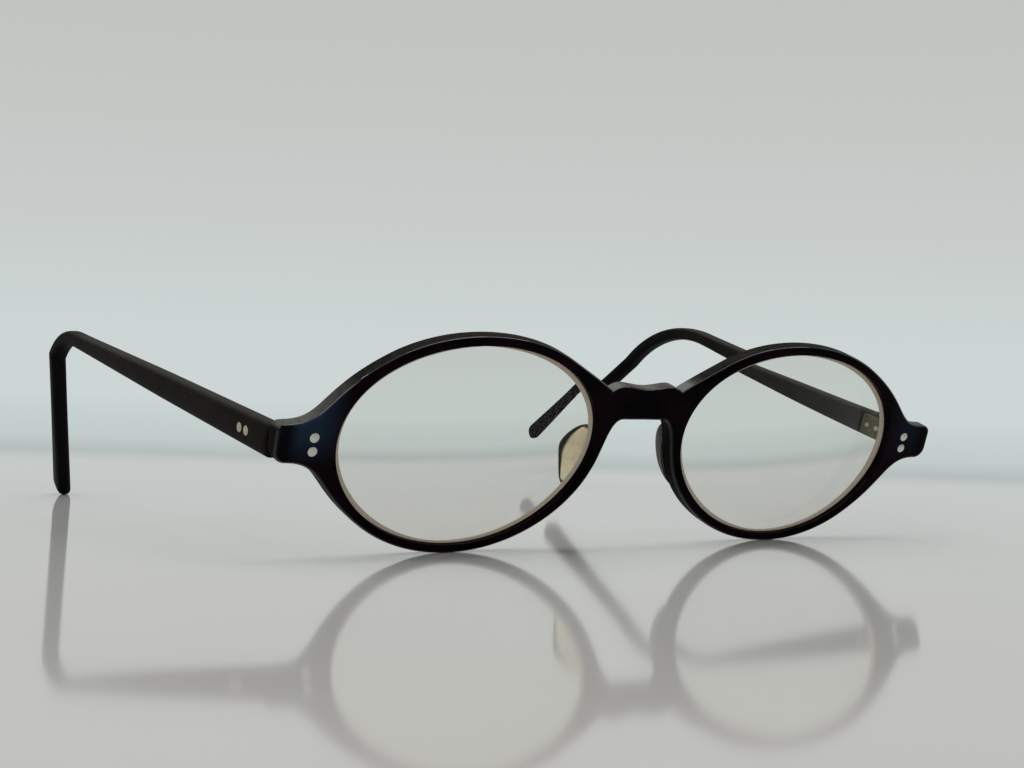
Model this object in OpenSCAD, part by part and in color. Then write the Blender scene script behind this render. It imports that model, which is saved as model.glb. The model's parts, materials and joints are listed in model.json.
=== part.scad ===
// Eyeglasses with oval lenses in a plastic frame, standing open on a table.
// The front leans forwards on its two rims and on the tip of the wearer's right temple.
// Front frame: x runs across to the wearer's left, y back towards the face and z up the front.
// Its zero point is on the front face, midway between the two lens openings.

/* [Lens openings] */
// Width of a lens opening
opening_w = 47.1; // [42:0.1:52]
// Height of a lens opening
opening_h = 34; // [29:0.1:40]
// Gap between the two lens openings, over the nose
opening_gap = 18.3; // [16:0.1:22]
// How far an opening is turned towards the temple, as a share of its radius
egg_turn = 0.013; // [0:0.001:0.02]
// How far an opening hangs down, as a share of its radius
egg_drop = 0.016; // [0:0.001:0.02]

/* [Front] */
// Thickness of the front
front_t = 3; // [2.6:0.1:3.6]
// Width of the rim above the lens
rim_top = 1.6; // [1.3:0.1:2.4]
// Width of the rim below the lens
rim_bottom = 1.55; // [1.3:0.05:2.4]
// Width of the rim beside the nose
rim_nose = 2; // [1.6:0.1:2.8]
// Width of the rim where it runs up to the end piece
rim_side = 1.75; // [1.4:0.05:2.4]
// Rounding of the outer edge at the front face
front_round = 0.75; // [0.4:0.05:0.9]
// Rounding of the outer edge at the back face
back_round = 0.35; // [0.2:0.05:0.6]
// Rounding of the opening's edge at the front face
opening_round = 0.3; // [0.1:0.05:0.5]

/* [End pieces] */
// Reach of an end piece outwards from the lens opening
end_reach = 10.3; // [9.6:0.1:13]
// Height of the end piece above the middle of the lens
end_top = 3.5; // [3:0.1:4.2]
// Depth of the end piece below the middle of the lens
end_bottom = 2.9; // [2.6:0.1:3.6]
// Radius of the upper outer corner
end_top_r = 1.2; // [0.8:0.1:1.6]
// Radius of the lower outer corner
end_bottom_r = 2.2; // [1.4:0.1:2.4]

/* [Bridge] */
// Height of the bridge's saddle at its middle
saddle_z = 9.9; // [9:0.1:11]
// Height of the shoulders beside the saddle
shoulder_z = 10.4; // [9.6:0.1:11.4]
// Distance of a shoulder from the middle
shoulder_x = 4.7; // [4:0.1:5.4]
// Distance from the middle of the notch between bridge and rim
notch_x = 7.2; // [6.6:0.1:7.8]
// Height of the notch
notch_z = 9.5; // [8.8:0.1:10]
// Height of the arch over the nose
arch_z = 4.4; // [3.6:0.1:5.2]
// Half of the arch's flat width
arch_x = 4; // [3:0.1:4.6]

/* [Lenses] */
// Thickness of a lens at its middle
lens_t = 1.3; // [1:0.1:2]
// Radius of a lens's front surface
lens_front_r = 300; // [200:1:400]
// Radius of a lens's back surface
lens_back_r = 131; // [90:1:180]
// Distance of a lens's optical middle from the opening's, towards the nose
lens_inset = 1.4; // [0:0.1:3]
// Depth of the lens's foremost point behind the front face
lens_set_back = 0.55; // [0.3:0.05:0.8]
// Depth of the lens groove in the rim
groove_d = 0.5; // [0.3:0.05:0.7]
// Width of the lens groove
groove_w = 0.9; // [0.6:0.05:1.1]
// Place of the groove behind the front face
groove_y = 1.9; // [1.7:0.05:2.1]
// Play between a lens and its rim
lens_play = 0.02; // [0.01:0.005:0.03]

/* [Nose pads] */
// Reach of a nose pad behind the front
pad_reach = 3.8; // [3:0.1:6]
// Greatest thickness of a nose pad
pad_t = 2.2; // [1.8:0.1:2.6]
// Angle round the opening at the middle of a nose pad
pad_middle = 190; // [186:1:198]
// Half of the angle that a nose pad covers
pad_half = 18; // [15:1:24]
// Room left between a nose pad and the lens's edge
lens_gap = 0.12; // [0.05:0.01:0.2]
// Angle by which a nose pad opens towards the face
pad_flare = 9; // [5:1:22]

/* [Temples] */
// Length of the straight shaft of the right temple
right_shaft = 81; // [74:0.5:92]
// Length of the straight shaft of the left temple
left_shaft = 70.2; // [62:0.1:80]
// Radius of the bend over the right ear
right_bend_r = 11; // [9:0.5:16]
// Radius of the bend over the left ear
left_bend_r = 35.4; // [24:0.1:40]
// Angle of the bend over the wearer's right ear
right_bend = 57.5; // [45:0.5:62]
// Angle of the bend over the wearer's left ear
left_bend = 51.2; // [45:0.1:62]
// Length of the straight end behind the right ear
right_ear_l = 39; // [32:0.5:46]
// Length of the straight end behind the left ear
left_ear_l = 33; // [26:0.5:40]
// Angle by which the end behind the right ear leans inwards
right_ear_in = 16; // [8:1:18]
// Angle by which the end behind the left ear leans inwards
left_ear_in = 10.4; // [6:0.1:18]
// Height of a temple at the hinge
temple_h = 5.6; // [5.2:0.1:6.4]
// Height of a temple halfway along the shaft
temple_mid_h = 4.5; // [4:0.1:5.2]
// Height of a temple at the bend
temple_bend_h = 2.65; // [2.4:0.1:4]
// Height of a temple near its tip
temple_tip_h = 5.2; // [3.2:0.1:5.8]
// Thickness of a temple
temple_t = 3.1; // [2.8:0.1:3.6]
// Length of the rounded tip
tip_round = 2.4; // [1.6:0.1:3]
// Outward angle of the open right temple
right_splay = 4.2; // [1:0.1:5]
// Outward angle of the open left temple
left_splay = 2.4; // [1:0.1:5]
// Downward angle of the wearer's right temple to the front
right_tilt = 7.6; // [6:0.1:9]
// Downward angle of the wearer's left temple to the front
left_tilt = 2.8; // [2:0.1:5]
// Drop of the temple's middle below the middle of the lens, at the hinge
temple_drop = 0.25; // [0:0.05:0.4]
// Gap between a temple's end and the front when it is open
joint_gap = 0.12; // [0.1:0.01:0.2]
// Radius of the wire inside a temple
wire_r = 0.55; // [0.4:0.05:0.65]
// Play round the wire inside a temple
wire_play = 0.02; // [0.01:0.005:0.04]

/* [Hinges] */
// Distance of the hinge pin from the temple's inner face
pin_in = 1.3; // [1.25:0.05:1.6]
// Distance of the hinge pin behind the front
pin_back = 1.25; // [1.15:0.05:1.5]
// Radius of the hinge's knuckles
knuckle_r = 0.95; // [0.85:0.05:1]
// Height of the whole hinge
hinge_h = 4.4; // [4:0.1:4.8]
// Height of the middle knuckle
middle_h = 1.6; // [1.4:0.1:1.8]
// Gap between two knuckles
knuckle_gap = 0.08; // [0.05:0.01:0.12]
// Room left between a fixed leaf and the parts that swing past it
hinge_play = 0.3; // [0.2:0.05:0.4]
// Radius of the hinge screw
screw_r = 0.45; // [0.4:0.01:0.5]
// Play between the screw and the middle knuckle
screw_play = 0.04; // [0.02:0.01:0.08]
// Radius of the screw's head
screw_head_r = 0.8; // [0.7:0.05:0.85]
// Height of the screw's head
screw_head_h = 0.5; // [0.4:0.05:0.6]
// Width of the slot in the screw's head
slot_w = 0.24; // [0.18:0.02:0.3]
// Depth of the slot in the screw's head
slot_d = 0.22; // [0.16:0.02:0.3]
// Thickness of a hinge plate
plate_t = 0.8; // [0.6:0.05:0.9]
// How deep a hinge plate is let into the temple
plate_sink = 0.3; // [0.25:0.05:0.4]
// Length of the hinge plate on the front
front_plate_l = 3.2; // [2.8:0.1:4]
// Length of the hinge plate on a temple
temple_plate_l = 8.2; // [7.6:0.1:9.4]

/* [Rivets] */
// Distance of the front rivets from the lens opening
rivet_reach = 4; // [3.6:0.1:4.4]
// Distance of the temple's rivets from the joint
temple_rivet_y = 8.1; // [7.6:0.1:9]
// Distance between the two rivets of a pair
rivet_pitch = 2.25; // [1.9:0.05:2.4]
// Radius of a rivet's head
rivet_head_r = 0.78; // [0.6:0.02:0.85]
// Radius of a rivet's shank
rivet_r = 0.45; // [0.35:0.05:0.5]
// Height of a rivet's head in its seat
rivet_seat = 0.4; // [0.3:0.05:0.5]
// Height by which a rivet's head stands proud
rivet_dome = 0.12; // [0.05:0.01:0.2]
// Play round a rivet
rivet_play = 0.01; // [0.005:0.005:0.02]

/* [Hidden] */

RIGHT = -1;
LEFT = 1;
LENS_POINTS = 72;
TEMPLE_SIDES = 12;
WIRE_SIDES = 8;
SQUARENESS = 3.2;
PIN_FN = 48;
BALL_FN = 300;
OVERCUT = 1;

// Middle of a lens opening, measured from the middle of the bridge
lens_x = (opening_gap + opening_w) / 2;
// Outermost point of an end piece, measured from the middle of the opening
end_u = opening_w / 2 + end_reach;
// Middle of a temple's thickness at the joint, in line with the end piece
joint_x = lens_x + end_u + 0.15 - temple_t / 2;
joint_y = front_t + joint_gap;
pin_x = joint_x - temple_t / 2 - pin_in;
pin_y = front_t + pin_back;
hinge_z = (end_top - end_bottom) / 2;
outer_h = (hinge_h - middle_h) / 2 - knuckle_gap;
rivet_x = lens_x + opening_w / 2 + rivet_reach;

// A point at angle a on the opening's edge, moved outwards by d
function egg(a) = 1 - egg_turn * sin(2 * a) + egg_drop * sin(3 * a);
function opening_pt(a) = egg(a) * [opening_w / 2 * cos(a), opening_h / 2 * sin(a)];
function unit(v) = v / norm(v);
function square_to(v) = [v[1], -v[0]];
function edge_pt(a, d) = opening_pt(a) + d * unit(square_to(opening_pt(a + 0.5) - opening_pt(a - 0.5)));

// Width of the rim at angle a
function rim_w(a) = (sin(a) > 0 ? rim_top : rim_bottom) * pow(sin(a), 2)
                  + (cos(a) < 0 ? rim_nose : rim_side) * pow(cos(a), 2);
function rim_pt(a) = edge_pt(a, rim_w(a));
// Points along the rim from angle a0, without the one at a1
function rim_run(a0, a1, n) = [for (i = [0:n - 1]) rim_pt(a0 + (a1 - a0) * i / n)];
function rim_way(a, turn) = turn * unit(rim_pt(a + 0.5) - rim_pt(a - 0.5));

// Points of a cubic curve without its last one
function cubic(p, q, r, s, n) = [for (i = [0:n - 1]) let (t = i / n, m = 1 - t)
    m * m * m * p + 3 * m * m * t * q + 3 * m * t * t * r + t * t * t * s];

// Outline of the left half of the front, from the middle of the saddle round to the arch
top_start = 131;
top_end = 50;
low_start = -48;
low_end = -166;
neck_x = end_u - 2.2;
end_slope = 0.05;
saddle_pt = [-lens_x, saddle_z];
shoulder_pt = [shoulder_x - lens_x, shoulder_z];
notch_pt = [notch_x - lens_x, notch_z];
arch_pt = [arch_x - lens_x, arch_z];
end_top_pt = [neck_x, end_top];
end_bottom_pt = [neck_x, -end_bottom];
top_corner = [end_u - end_top_r, end_top - end_slope * (end_u - end_top_r - neck_x)];
low_corner = [end_u - end_bottom_r, -end_bottom];
half_outline = concat(
    cubic(saddle_pt, saddle_pt + [1.8, 0], shoulder_pt - [1.2, 0], shoulder_pt, 5),
    cubic(shoulder_pt, shoulder_pt + [1, 0], notch_pt + [-0.6, 0.3], notch_pt, 5),
    cubic(notch_pt, notch_pt + [0.3, 0.5], rim_pt(top_start) + rim_way(top_start, 1) * 2,
          rim_pt(top_start), 7),
    rim_run(top_start, top_end, 18),
    cubic(rim_pt(top_end), rim_pt(top_end) + rim_way(top_end, -1) * 12.5,
          end_top_pt - [6.2, -6.2 * end_slope], end_top_pt, 12),
    cubic(top_corner, top_corner + [end_top_r * 0.55, 0], [end_u, top_corner[1] - end_top_r * 0.45],
          [end_u, top_corner[1] - end_top_r], 5),
    cubic([end_u, low_corner[1] + end_bottom_r], [end_u, low_corner[1] + end_bottom_r * 0.45],
          low_corner + [end_bottom_r * 0.55, 0], low_corner, 5),
    cubic(end_bottom_pt, end_bottom_pt - [6.7, 0], rim_pt(low_start) + rim_way(low_start, 1) * 11.3,
          rim_pt(low_start), 12),
    rim_run(low_start, low_end, 26),
    cubic(rim_pt(low_end) + rim_way(low_end, -1) * 0.6, rim_pt(low_end) + rim_way(low_end, -1) * 4.5,
          arch_pt + [2.5, 0], arch_pt, 10),
    [arch_pt, [-lens_x, arch_z]]);
half_pts = [for (p = half_outline) [p[0] + lens_x, p[1]]];
half_n = len(half_pts);
outline = concat(half_pts, [for (i = [half_n - 2:-1:1]) [-half_pts[i][0], half_pts[i][1]]]);
notch_i = 10;

// A closed outline moved inwards by d, running clockwise as seen from in front
function inset(pts, d) = [for (i = [0:len(pts) - 1])
    let (n = len(pts), way = unit(pts[(i + 1) % n] - pts[(i + n - 1) % n])) pts[i] + d * square_to(way)];

// A quarter round, as pairs of depth and inset
function quarter(r, y0, way) = [for (a = [0, 30, 60, 90]) [y0 + way * r * (1 - cos(a)), r * (1 - sin(a))]];
front_profile = concat(quarter(front_round, 0, 1), [for (i = [3:-1:0]) quarter(back_round, front_t, -1)[i]]);

// Sides of a solid whose rings of points follow each other
function wall_faces(rings, sides) = [for (k = [0:rings - 2], i = [0:sides - 1], h = [0, 1])
        let (a = k * sides + i, b = k * sides + (i + 1) % sides)
        h == 0 ? [b, a, a + sides] : [b, a + sides, b + sides]];
module ring_solid(rings) {
    sides = len(rings[0]);
    polyhedron([for (r = rings) each r], concat([[for (i = [0:sides - 1]) i]], wall_faces(len(rings), sides),
        [[for (i = [sides - 1:-1:0]) (len(rings) - 1) * sides + i]]), convexity = 8);
}

// Which point of the opening each point of the half outline is joined to. The bridge's points
// share the first one, the arch's share the last one, and the rest go by their angle.
SEAM = 160;
function clock(p) = let (a = SEAM - atan2(p[1] / opening_h, (p[0] - lens_x) / opening_w)) a < 0 ? a + 360 : a;
function partner(i) = i <= notch_i ? 0 : i >= half_n - 2 ? LENS_POINTS
    : max(0, min(LENS_POINTS, round(clock(half_pts[i]) / 360 * LENS_POINTS)));
partners = [for (i = 0, most = 0; i < half_n; i = i + 1, most = max(most, partner(min(i, half_n - 1)))) most];
opening_mid = round(SEAM / 360 * LENS_POINTS);

// The end piece's faces run out from a frame of six points round its two rivets:
// four corners clockwise with one point on the outer side, and the point on the inner side last
FRAME_POINTS = 6;
rivet_edge = rivet_head_r + 0.12;
rivet_frame = let (w = rivet_edge, h = rivet_pitch / 2 + rivet_edge)
    [[-w, h], [w, h], [w, 0], [w, -h], [-w, -h], [-w, 0]];
function frame_pts(y) = [for (x = [1, -1], q = rivet_frame) [x * (rivet_x + q[0]), y, hinge_z + q[1]]];
end_run = [for (i = [0:half_n - 1]) if (half_pts[i][0] > lens_x + opening_w / 2 - OVERCUT) i];
end_first = end_run[0];
end_last = end_run[len(end_run) - 1];
corners = [for (p = half_pts) p[0] < rivet_x ? (p[1] > hinge_z ? 0 : 4) : p[1] > hinge_z ? 1 : 3];
function back_fan(at, first, last, hub) = [for (i = [first:1:last - 1]) [at[i + 1], at[i], hub]];
function zip(at, inner, partner, first, last) = [for (i = [first:1:last - 1]) each concat(
    back_fan(inner, partner[i], partner[i + 1], at[i]), [[at[i], at[i + 1], inner[partner[i + 1]]]])];
function half_face(at, inner, f) = let (in_first = partners[end_first], in_last = partners[end_last]) concat(
    zip(at, inner, partners, 0, end_first), [[at[end_first], f[0], inner[in_first]]],
    zip(at, f, corners, end_first, end_last), [[f[4], at[end_last], inner[in_last]]],
    zip(at, inner, partners, end_last, half_n - 1), [[at[half_n - 1], at[0], inner[0]]],
    back_fan(inner, in_first, opening_mid, f[0]), back_fan(inner, opening_mid, in_last, f[4]),
    [[f[0], f[5], inner[opening_mid]], [f[5], f[4], inner[opening_mid]]],
    [[f[0], f[1], f[2]], [f[0], f[2], f[5]], [f[5], f[2], f[3]], [f[5], f[3], f[4]]]);
function turned(faces) = [for (f = faces) [f[2], f[1], f[0]]];
function flat_face(base, inner, frame) = let (n = len(outline), m = LENS_POINTS) concat(
    half_face([for (i = [0:half_n - 1]) base + i], [for (i = [0:m]) inner[0] + i % m],
        [for (i = [0:FRAME_POINTS - 1]) frame + i]),
    turned(half_face([for (i = [0:half_n - 1]) base + (n - i) % n], [for (i = [0:m]) inner[1] + i % m],
        [for (i = [0:FRAME_POINTS - 1]) frame + FRAME_POINTS + i])));
function opening_ring(q, way) = [for (i = [0:LENS_POINTS - 1])
    let (p = edge_pt(SEAM - 360 * i / LENS_POINTS, q[1])) [way * (lens_x + p[0]), q[0], p[1]]];
function shift(faces, base) = [for (f = faces) [for (i = f) i + base]];
module front_solid() {
    outer = [for (q = front_profile) [for (p = inset(outline, q[1])) [p[0], q[0], p[1]]]];
    n = len(outline);
    left_base = len(outer) * n;
    right_base = left_base + len(rim_levels) * LENS_POINTS;
    frame_base = right_base + len(rim_levels) * LENS_POINTS;
    last_ring = (len(rim_levels) - 1) * LENS_POINTS;
    rim_walls = wall_faces(len(rim_levels), LENS_POINTS);
    polyhedron(concat([for (r = outer) each r],
            [for (way = [1, -1], q = rim_levels) each opening_ring(q, way)], frame_pts(0), frame_pts(front_t)),
        concat(flat_face(0, [left_base, right_base], frame_base), wall_faces(len(outer), n),
            turned(flat_face((len(outer) - 1) * n, [left_base + last_ring, right_base + last_ring],
                frame_base + 2 * FRAME_POINTS)),
            turned(shift(rim_walls, left_base)), shift(rim_walls, right_base)), convexity = 8);
}

// A solid through an opening, from pairs of depth and distance outwards from its edge
module opening_solid(levels) {
    ring_solid([for (q = levels) [for (i = [0:LENS_POINTS - 1])
        let (p = edge_pt(-360 * i / LENS_POINTS, q[1])) [lens_x + p[0], q[0], p[1]]]]);
}

// Stations along a temple: place along the shaft, height, sideways place, turn and distance run
function pick(side, right_value, left_value) = side == RIGHT ? right_value : left_value;
function shaft_of(side) = pick(side, right_shaft, left_shaft);
function bend_of(side) = pick(side, right_bend, left_bend);
function bend_r_of(side) = pick(side, right_bend_r, left_bend_r);
function ear_l_of(side) = pick(side, right_ear_l, left_ear_l);
function bend_end(side) = shaft_of(side) + bend_r_of(side) * bend_of(side) * PI / 180;
function temple_run(side) = bend_end(side) + ear_l_of(side);
HINGE_END = 12;
SHAFT_STEPS = 4;
BEND_STEPS = 8;
EAR_STEPS = 5;
TIP_STEPS = 4;
function stops(from, to, n) = [for (i = [1:n]) from + (to - from) * i / n];
function run_stops(side) = concat([-4, 0, 3, HINGE_END], stops(HINGE_END, shaft_of(side), SHAFT_STEPS),
    stops(shaft_of(side), bend_end(side), BEND_STEPS),
    stops(bend_end(side), temple_run(side) - tip_round, EAR_STEPS),
    [for (i = [1:TIP_STEPS]) temple_run(side) - tip_round * (1 - sin(86 * i / TIP_STEPS))]);
function bend_turn(side, run) = max(0, min(bend_of(side),
    (run - shaft_of(side)) / bend_r_of(side) * 180 / PI));
function temple_line(side, run) = let (turn = bend_turn(side, run), e = max(0, run - bend_end(side)),
    r = bend_r_of(side)) [
    -e * tan(pick(side, right_ear_in, left_ear_in)),
    min(run, shaft_of(side)) + r * sin(turn) + e * cos(turn),
    -r * (1 - cos(turn)) - e * sin(turn)];
function tip_share(side, run) = let (d = max(0, min(1, (temple_run(side) - run) / tip_round)))
    sqrt(1 - pow(1 - d, 2));
function temple_height(side, run) = lookup(run, [[0, temple_h], [shaft_of(side) / 2, temple_mid_h],
    [shaft_of(side), temple_bend_h], [bend_end(side) + ear_l_of(side) / 3, temple_bend_h + 0.12],
    [temple_run(side), temple_tip_h]]);
function temple_ring(side, run, h, t, sides, power) = let (turn = bend_turn(side, run),
    mid = temple_line(side, run))
    [for (i = [0:sides - 1]) let (a = 360 * (i + 0.5) / sides,
        up = sign(cos(a)) * pow(abs(cos(a)), power) * h / 2,
        out = sign(sin(a)) * pow(abs(sin(a)), power) * t / 2)
        mid + [out, up * sin(turn), up * cos(turn)]];
function temple_rings(side) = [for (run = run_stops(side)) let (share = tip_share(side, run))
    temple_ring(side, run, temple_height(side, run) * share, temple_t * share, TEMPLE_SIDES, 2 / SQUARENESS)];
wire_start = temple_rivet_y + rivet_pitch;
function wire_end(side) = bend_end(side) + ear_l_of(side) * 0.8;
function wire_stops(side) = concat([wire_start],
    [for (run = run_stops(side)) if (run > wire_start + 1 && run < wire_end(side) - 1) run],
    [wire_end(side)]);
function wire_rings(side, r, start) = [for (run = concat(start, wire_stops(side)))
    temple_ring(side, run, 2 * r, 2 * r, WIRE_SIDES, 1)];

// How the open glasses stand: on the rims' lowest edge and the right temple's tip,
// with the middle of the box that holds them over the zero point
function turn_x(p, a) = [p[0], p[1] * cos(a) - p[2] * sin(a), p[1] * sin(a) + p[2] * cos(a)];
function turn_z(p, a) = [p[0] * cos(a) - p[1] * sin(a), p[0] * sin(a) + p[1] * cos(a), p[2]];
function tilt_of(side) = pick(side, right_tilt, left_tilt);
function splay_of(side) = pick(side, right_splay, left_splay);
function temple_to_front(side, p) = [joint_x, joint_y, -temple_drop]
    + turn_z(turn_x(p, -tilt_of(side)), -splay_of(side));
function temple_pts(side) = [for (r = temple_rings(side)) each [for (p = r) temple_to_front(side, p)]];
front_pts = [for (q = front_profile) each [for (p = inset(outline, q[1])) [p[0], q[0], p[1]]]];
right_pts = temple_pts(RIGHT);
left_pts = temple_pts(LEFT);
function height_at(p, a) = p[1] * sin(a) + p[2] * cos(a);
function depth_at(p, a) = p[1] * cos(a) - p[2] * sin(a);
function lowest(pts, a) = let (heights = [for (p = pts) height_at(p, a)])
    pts[search(min(heights), heights)[0]];
function settle(a, steps) = steps == 0 ? a :
    let (rim = lowest(front_pts, a), tip = lowest(right_pts, a))
    settle(atan2(rim[2] - tip[2], tip[1] - rim[1]), steps - 1);
lean = settle(17, 6);
stand_z = -min([for (p = front_pts) height_at(p, lean)]);
all_depths = [for (p = concat(front_pts, right_pts, left_pts)) depth_at(p, lean)];
stand_y = -(min(all_depths) + max(all_depths)) / 2;
function widest(pts) = max([for (p = pts) p[0]]);
stand_x = (widest(right_pts) - widest(left_pts)) / 2;

// Turns what is drawn on the front's own axes into the standing pose
module stand() {
    translate([stand_x, stand_y, stand_z]) rotate([lean, 0, 0]) children();
}
// Draws a piece of the left side, or its mirror image on the right side
module on_side(side) {
    stand() {
        if (side == LEFT) children();
        if (side == RIGHT) mirror([1, 0, 0]) children();
    }
}
module on_temple(side) {
    translate([joint_x, joint_y, -temple_drop]) rotate([-tilt_of(side), 0, -splay_of(side)]) children();
}

// A rivet whose head starts at y = 0, running back along y
module rivet(length) {
    rotate([-90, 0, 0]) {
        cylinder(r = rivet_head_r, h = rivet_seat, $fn = PIN_FN);
        translate([0, 0, rivet_seat / 2]) cylinder(r = rivet_r, h = length - rivet_seat / 2, $fn = PIN_FN);
    }
}
// The hole for a rivet, with the seat of its head, open at both ends
module rivet_hole(length) {
    rotate([-90, 0, 0]) {
        translate([0, 0, -OVERCUT])
            cylinder(r = rivet_head_r + rivet_play, h = rivet_seat + OVERCUT, $fn = PIN_FN);
        cylinder(r = rivet_r + rivet_play, h = length + OVERCUT, $fn = PIN_FN);
    }
}
// The low dome of a rivet's head, in front of y = 0
module rivet_dome_cap() {
    ball_r = (pow(rivet_head_r, 2) + pow(rivet_dome, 2)) / (2 * rivet_dome);
    intersection() {
        translate([0, ball_r - rivet_dome, 0]) sphere(r = ball_r, $fn = BALL_FN);
        rotate([90, 0, 0]) translate([0, 0, -0.05])
            cylinder(r = rivet_head_r, h = rivet_dome + 0.1, $fn = PIN_FN);
    }
}
front_rivet_l = front_t + plate_t;
module at_front_rivet(level) {
    translate([rivet_x, 0, hinge_z + level * rivet_pitch / 2]) children();
}
temple_rivet_l = temple_t - plate_sink + plate_t;
module at_temple_rivet(side, order) {
    on_temple(side) translate([temple_t / 2, temple_rivet_y + order * rivet_pitch / 2, 0])
        rotate([0, 0, 90]) children();
}

rim_levels = [[0, opening_round], [opening_round, 0], [groove_y - groove_w / 2, 0],
    [groove_y, groove_d], [groove_y + groove_w / 2, 0], [front_t, 0]];
lens_edge_levels = [[-OVERCUT, -lens_play], [groove_y - groove_w / 2, -lens_play],
    [groove_y, groove_d - lens_play], [groove_y + groove_w / 2, -lens_play], [groove_y + 9, -lens_play]];

module front_frame() {
    color([0.09, 0.05, 0.08])
    stand() difference() {
        front_solid();
        for (side = [0, 1], level = [-1, 1]) mirror([side, 0, 0])
            at_front_rivet(level) rivet_hole(front_rivet_l);
    }
}

module lens(side) {
    color([0.86, 0.9, 0.88, 0.35])
    on_side(side) intersection() {
        opening_solid(lens_edge_levels);
        difference() {
            translate([lens_x - lens_inset, lens_set_back + lens_front_r, 0])
                sphere(r = lens_front_r, $fn = BALL_FN);
            translate([lens_x - lens_inset, lens_set_back + lens_t + lens_back_r, 0])
                sphere(r = lens_back_r, $fn = BALL_FN);
        }
    }
}

// A moulded pad that grows from the back of the rim, thin and rounded at both ends
pad_steps = 10;
pad_sides = 9;
function pad_ring(step) = let (w = -cos(180 * step / pad_steps), full = sqrt(max(0.02, 1 - w * w)),
    a = pad_middle + w * pad_half, foot = edge_pt(a, 0.1 + pad_t / 2),
    out = unit(square_to(opening_pt(a + 0.5) - opening_pt(a - 0.5))))
    [for (i = [0:pad_sides - 1]) let (s = 180 * i / (pad_sides - 1),
        across = cos(s) * pad_t / 2 * full, back = pow(sin(s), 0.8) * pad_reach * full,
        p = foot + out * (across - back * tan(pad_flare)))
        [lens_x + p[0], front_t + back, p[1]]];
module nose_pad(side) {
    color([0.72, 0.62, 0.42, 0.8])
    on_side(side) difference() {
        ring_solid([for (step = [0:pad_steps]) pad_ring(step)]);
        opening_solid([[0, lens_gap], [front_t + pad_reach, lens_gap]]);
    }
}

module knuckle(z0, h) {
    translate([pin_x, pin_y, hinge_z + z0]) cylinder(r = knuckle_r, h = h, $fn = PIN_FN);
}
outer_knuckles = [-hinge_h / 2, hinge_h / 2 - outer_h];
screw_bore_r = screw_r + screw_play;
module screw_bore() {
    translate([pin_x, pin_y, hinge_z - hinge_h / 2 - OVERCUT])
        cylinder(r = screw_bore_r, h = hinge_h + 2 * OVERCUT, $fn = PIN_FN);
}
module screw_head_seat() {
    translate([pin_x, pin_y, hinge_z + hinge_h / 2 - screw_head_h])
        cylinder(r = screw_head_r + screw_play, h = screw_head_h + OVERCUT, $fn = PIN_FN);
}
front_plate_end = pin_x - knuckle_r - hinge_play;
front_plate_start = front_plate_end - front_plate_l;
module front_hinge(side) {
    color([0.72, 0.7, 0.64])
    on_side(side) difference() {
        union() {
            translate([front_plate_start, front_t, hinge_z - hinge_h / 2])
                cube([front_plate_l, plate_t, hinge_h]);
            for (z0 = outer_knuckles) {
                knuckle(z0, outer_h);
                translate([front_plate_end - 0.5, front_t, hinge_z + z0])
                    cube([pin_x - front_plate_end + 0.5, pin_back, outer_h]);
            }
        }
        for (level = [-1, 1]) at_front_rivet(level) rivet_hole(front_rivet_l);
        screw_bore();
        screw_head_seat();
    }
}

// The leaf's plate lies in the temple's inner face; its web carries the middle knuckle
temple_plate_start = pin_y - joint_y + knuckle_r + hinge_play;
module temple_plate(side) {
    on_temple(side) translate([-temple_t / 2 - plate_t + plate_sink, temple_plate_start, -hinge_h / 2 + 0.2])
        cube([plate_t, temple_plate_l, hinge_h - 0.4]);
}
module temple_hinge(side) {
    color([0.55, 0.53, 0.44])
    on_side(side) difference() {
        union() {
            temple_plate(side);
            knuckle(-middle_h / 2, middle_h);
            translate([pin_x, pin_y, hinge_z - middle_h / 2])
                cube([pin_in - 0.15, temple_plate_start + joint_y - pin_y + 0.6, middle_h]);
        }
        for (order = [-1, 1]) at_temple_rivet(side, order) rivet_hole(temple_rivet_l);
        screw_bore();
    }
}

module hinge_screw(side) {
    color([0.78, 0.77, 0.74])
    on_side(side) translate([pin_x, pin_y, hinge_z]) difference() {
        union() {
            translate([0, 0, -hinge_h / 2]) cylinder(r = screw_r, h = hinge_h - 0.1, $fn = PIN_FN);
            translate([0, 0, hinge_h / 2 - screw_head_h + screw_play])
                cylinder(r = screw_head_r, h = screw_head_h - screw_play, $fn = PIN_FN);
        }
        translate([-screw_head_r - 0.1, -slot_w / 2, hinge_h / 2 - slot_d])
            cube([2 * screw_head_r + 0.2, slot_w, OVERCUT]);
    }
}

module front_rivet(side, level) {
    color([0.85, 0.85, 0.84])
    on_side(side) at_front_rivet(level) {
        rivet(front_rivet_l);
        rivet_dome_cap();
    }
}

module temple_rivet(side, order) {
    color([0.7, 0.66, 0.58])
    on_side(side) at_temple_rivet(side, order) {
        rivet(temple_rivet_l);
        rivet_dome_cap();
    }
}

// Half of the block that cuts a temple's front end square with the end piece
END_BLOCK = 20;
module temple(side) {
    color([0.1, 0.07, 0.07])
    on_side(side) difference() {
        on_temple(side) ring_solid(temple_rings(side));
        translate([joint_x - END_BLOCK, joint_y - END_BLOCK, -END_BLOCK])
            cube([2 * END_BLOCK, END_BLOCK, 2 * END_BLOCK]);
        on_temple(side) ring_solid(wire_rings(side, wire_r + wire_play, [-3]));
        temple_plate(side);
        for (order = [-1, 1]) at_temple_rivet(side, order) rivet_hole(temple_rivet_l);
    }
}

module temple_wire(side) {
    color([0.75, 0.75, 0.76])
    on_side(side) on_temple(side) ring_solid(wire_rings(side, wire_r, []));
}

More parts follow.
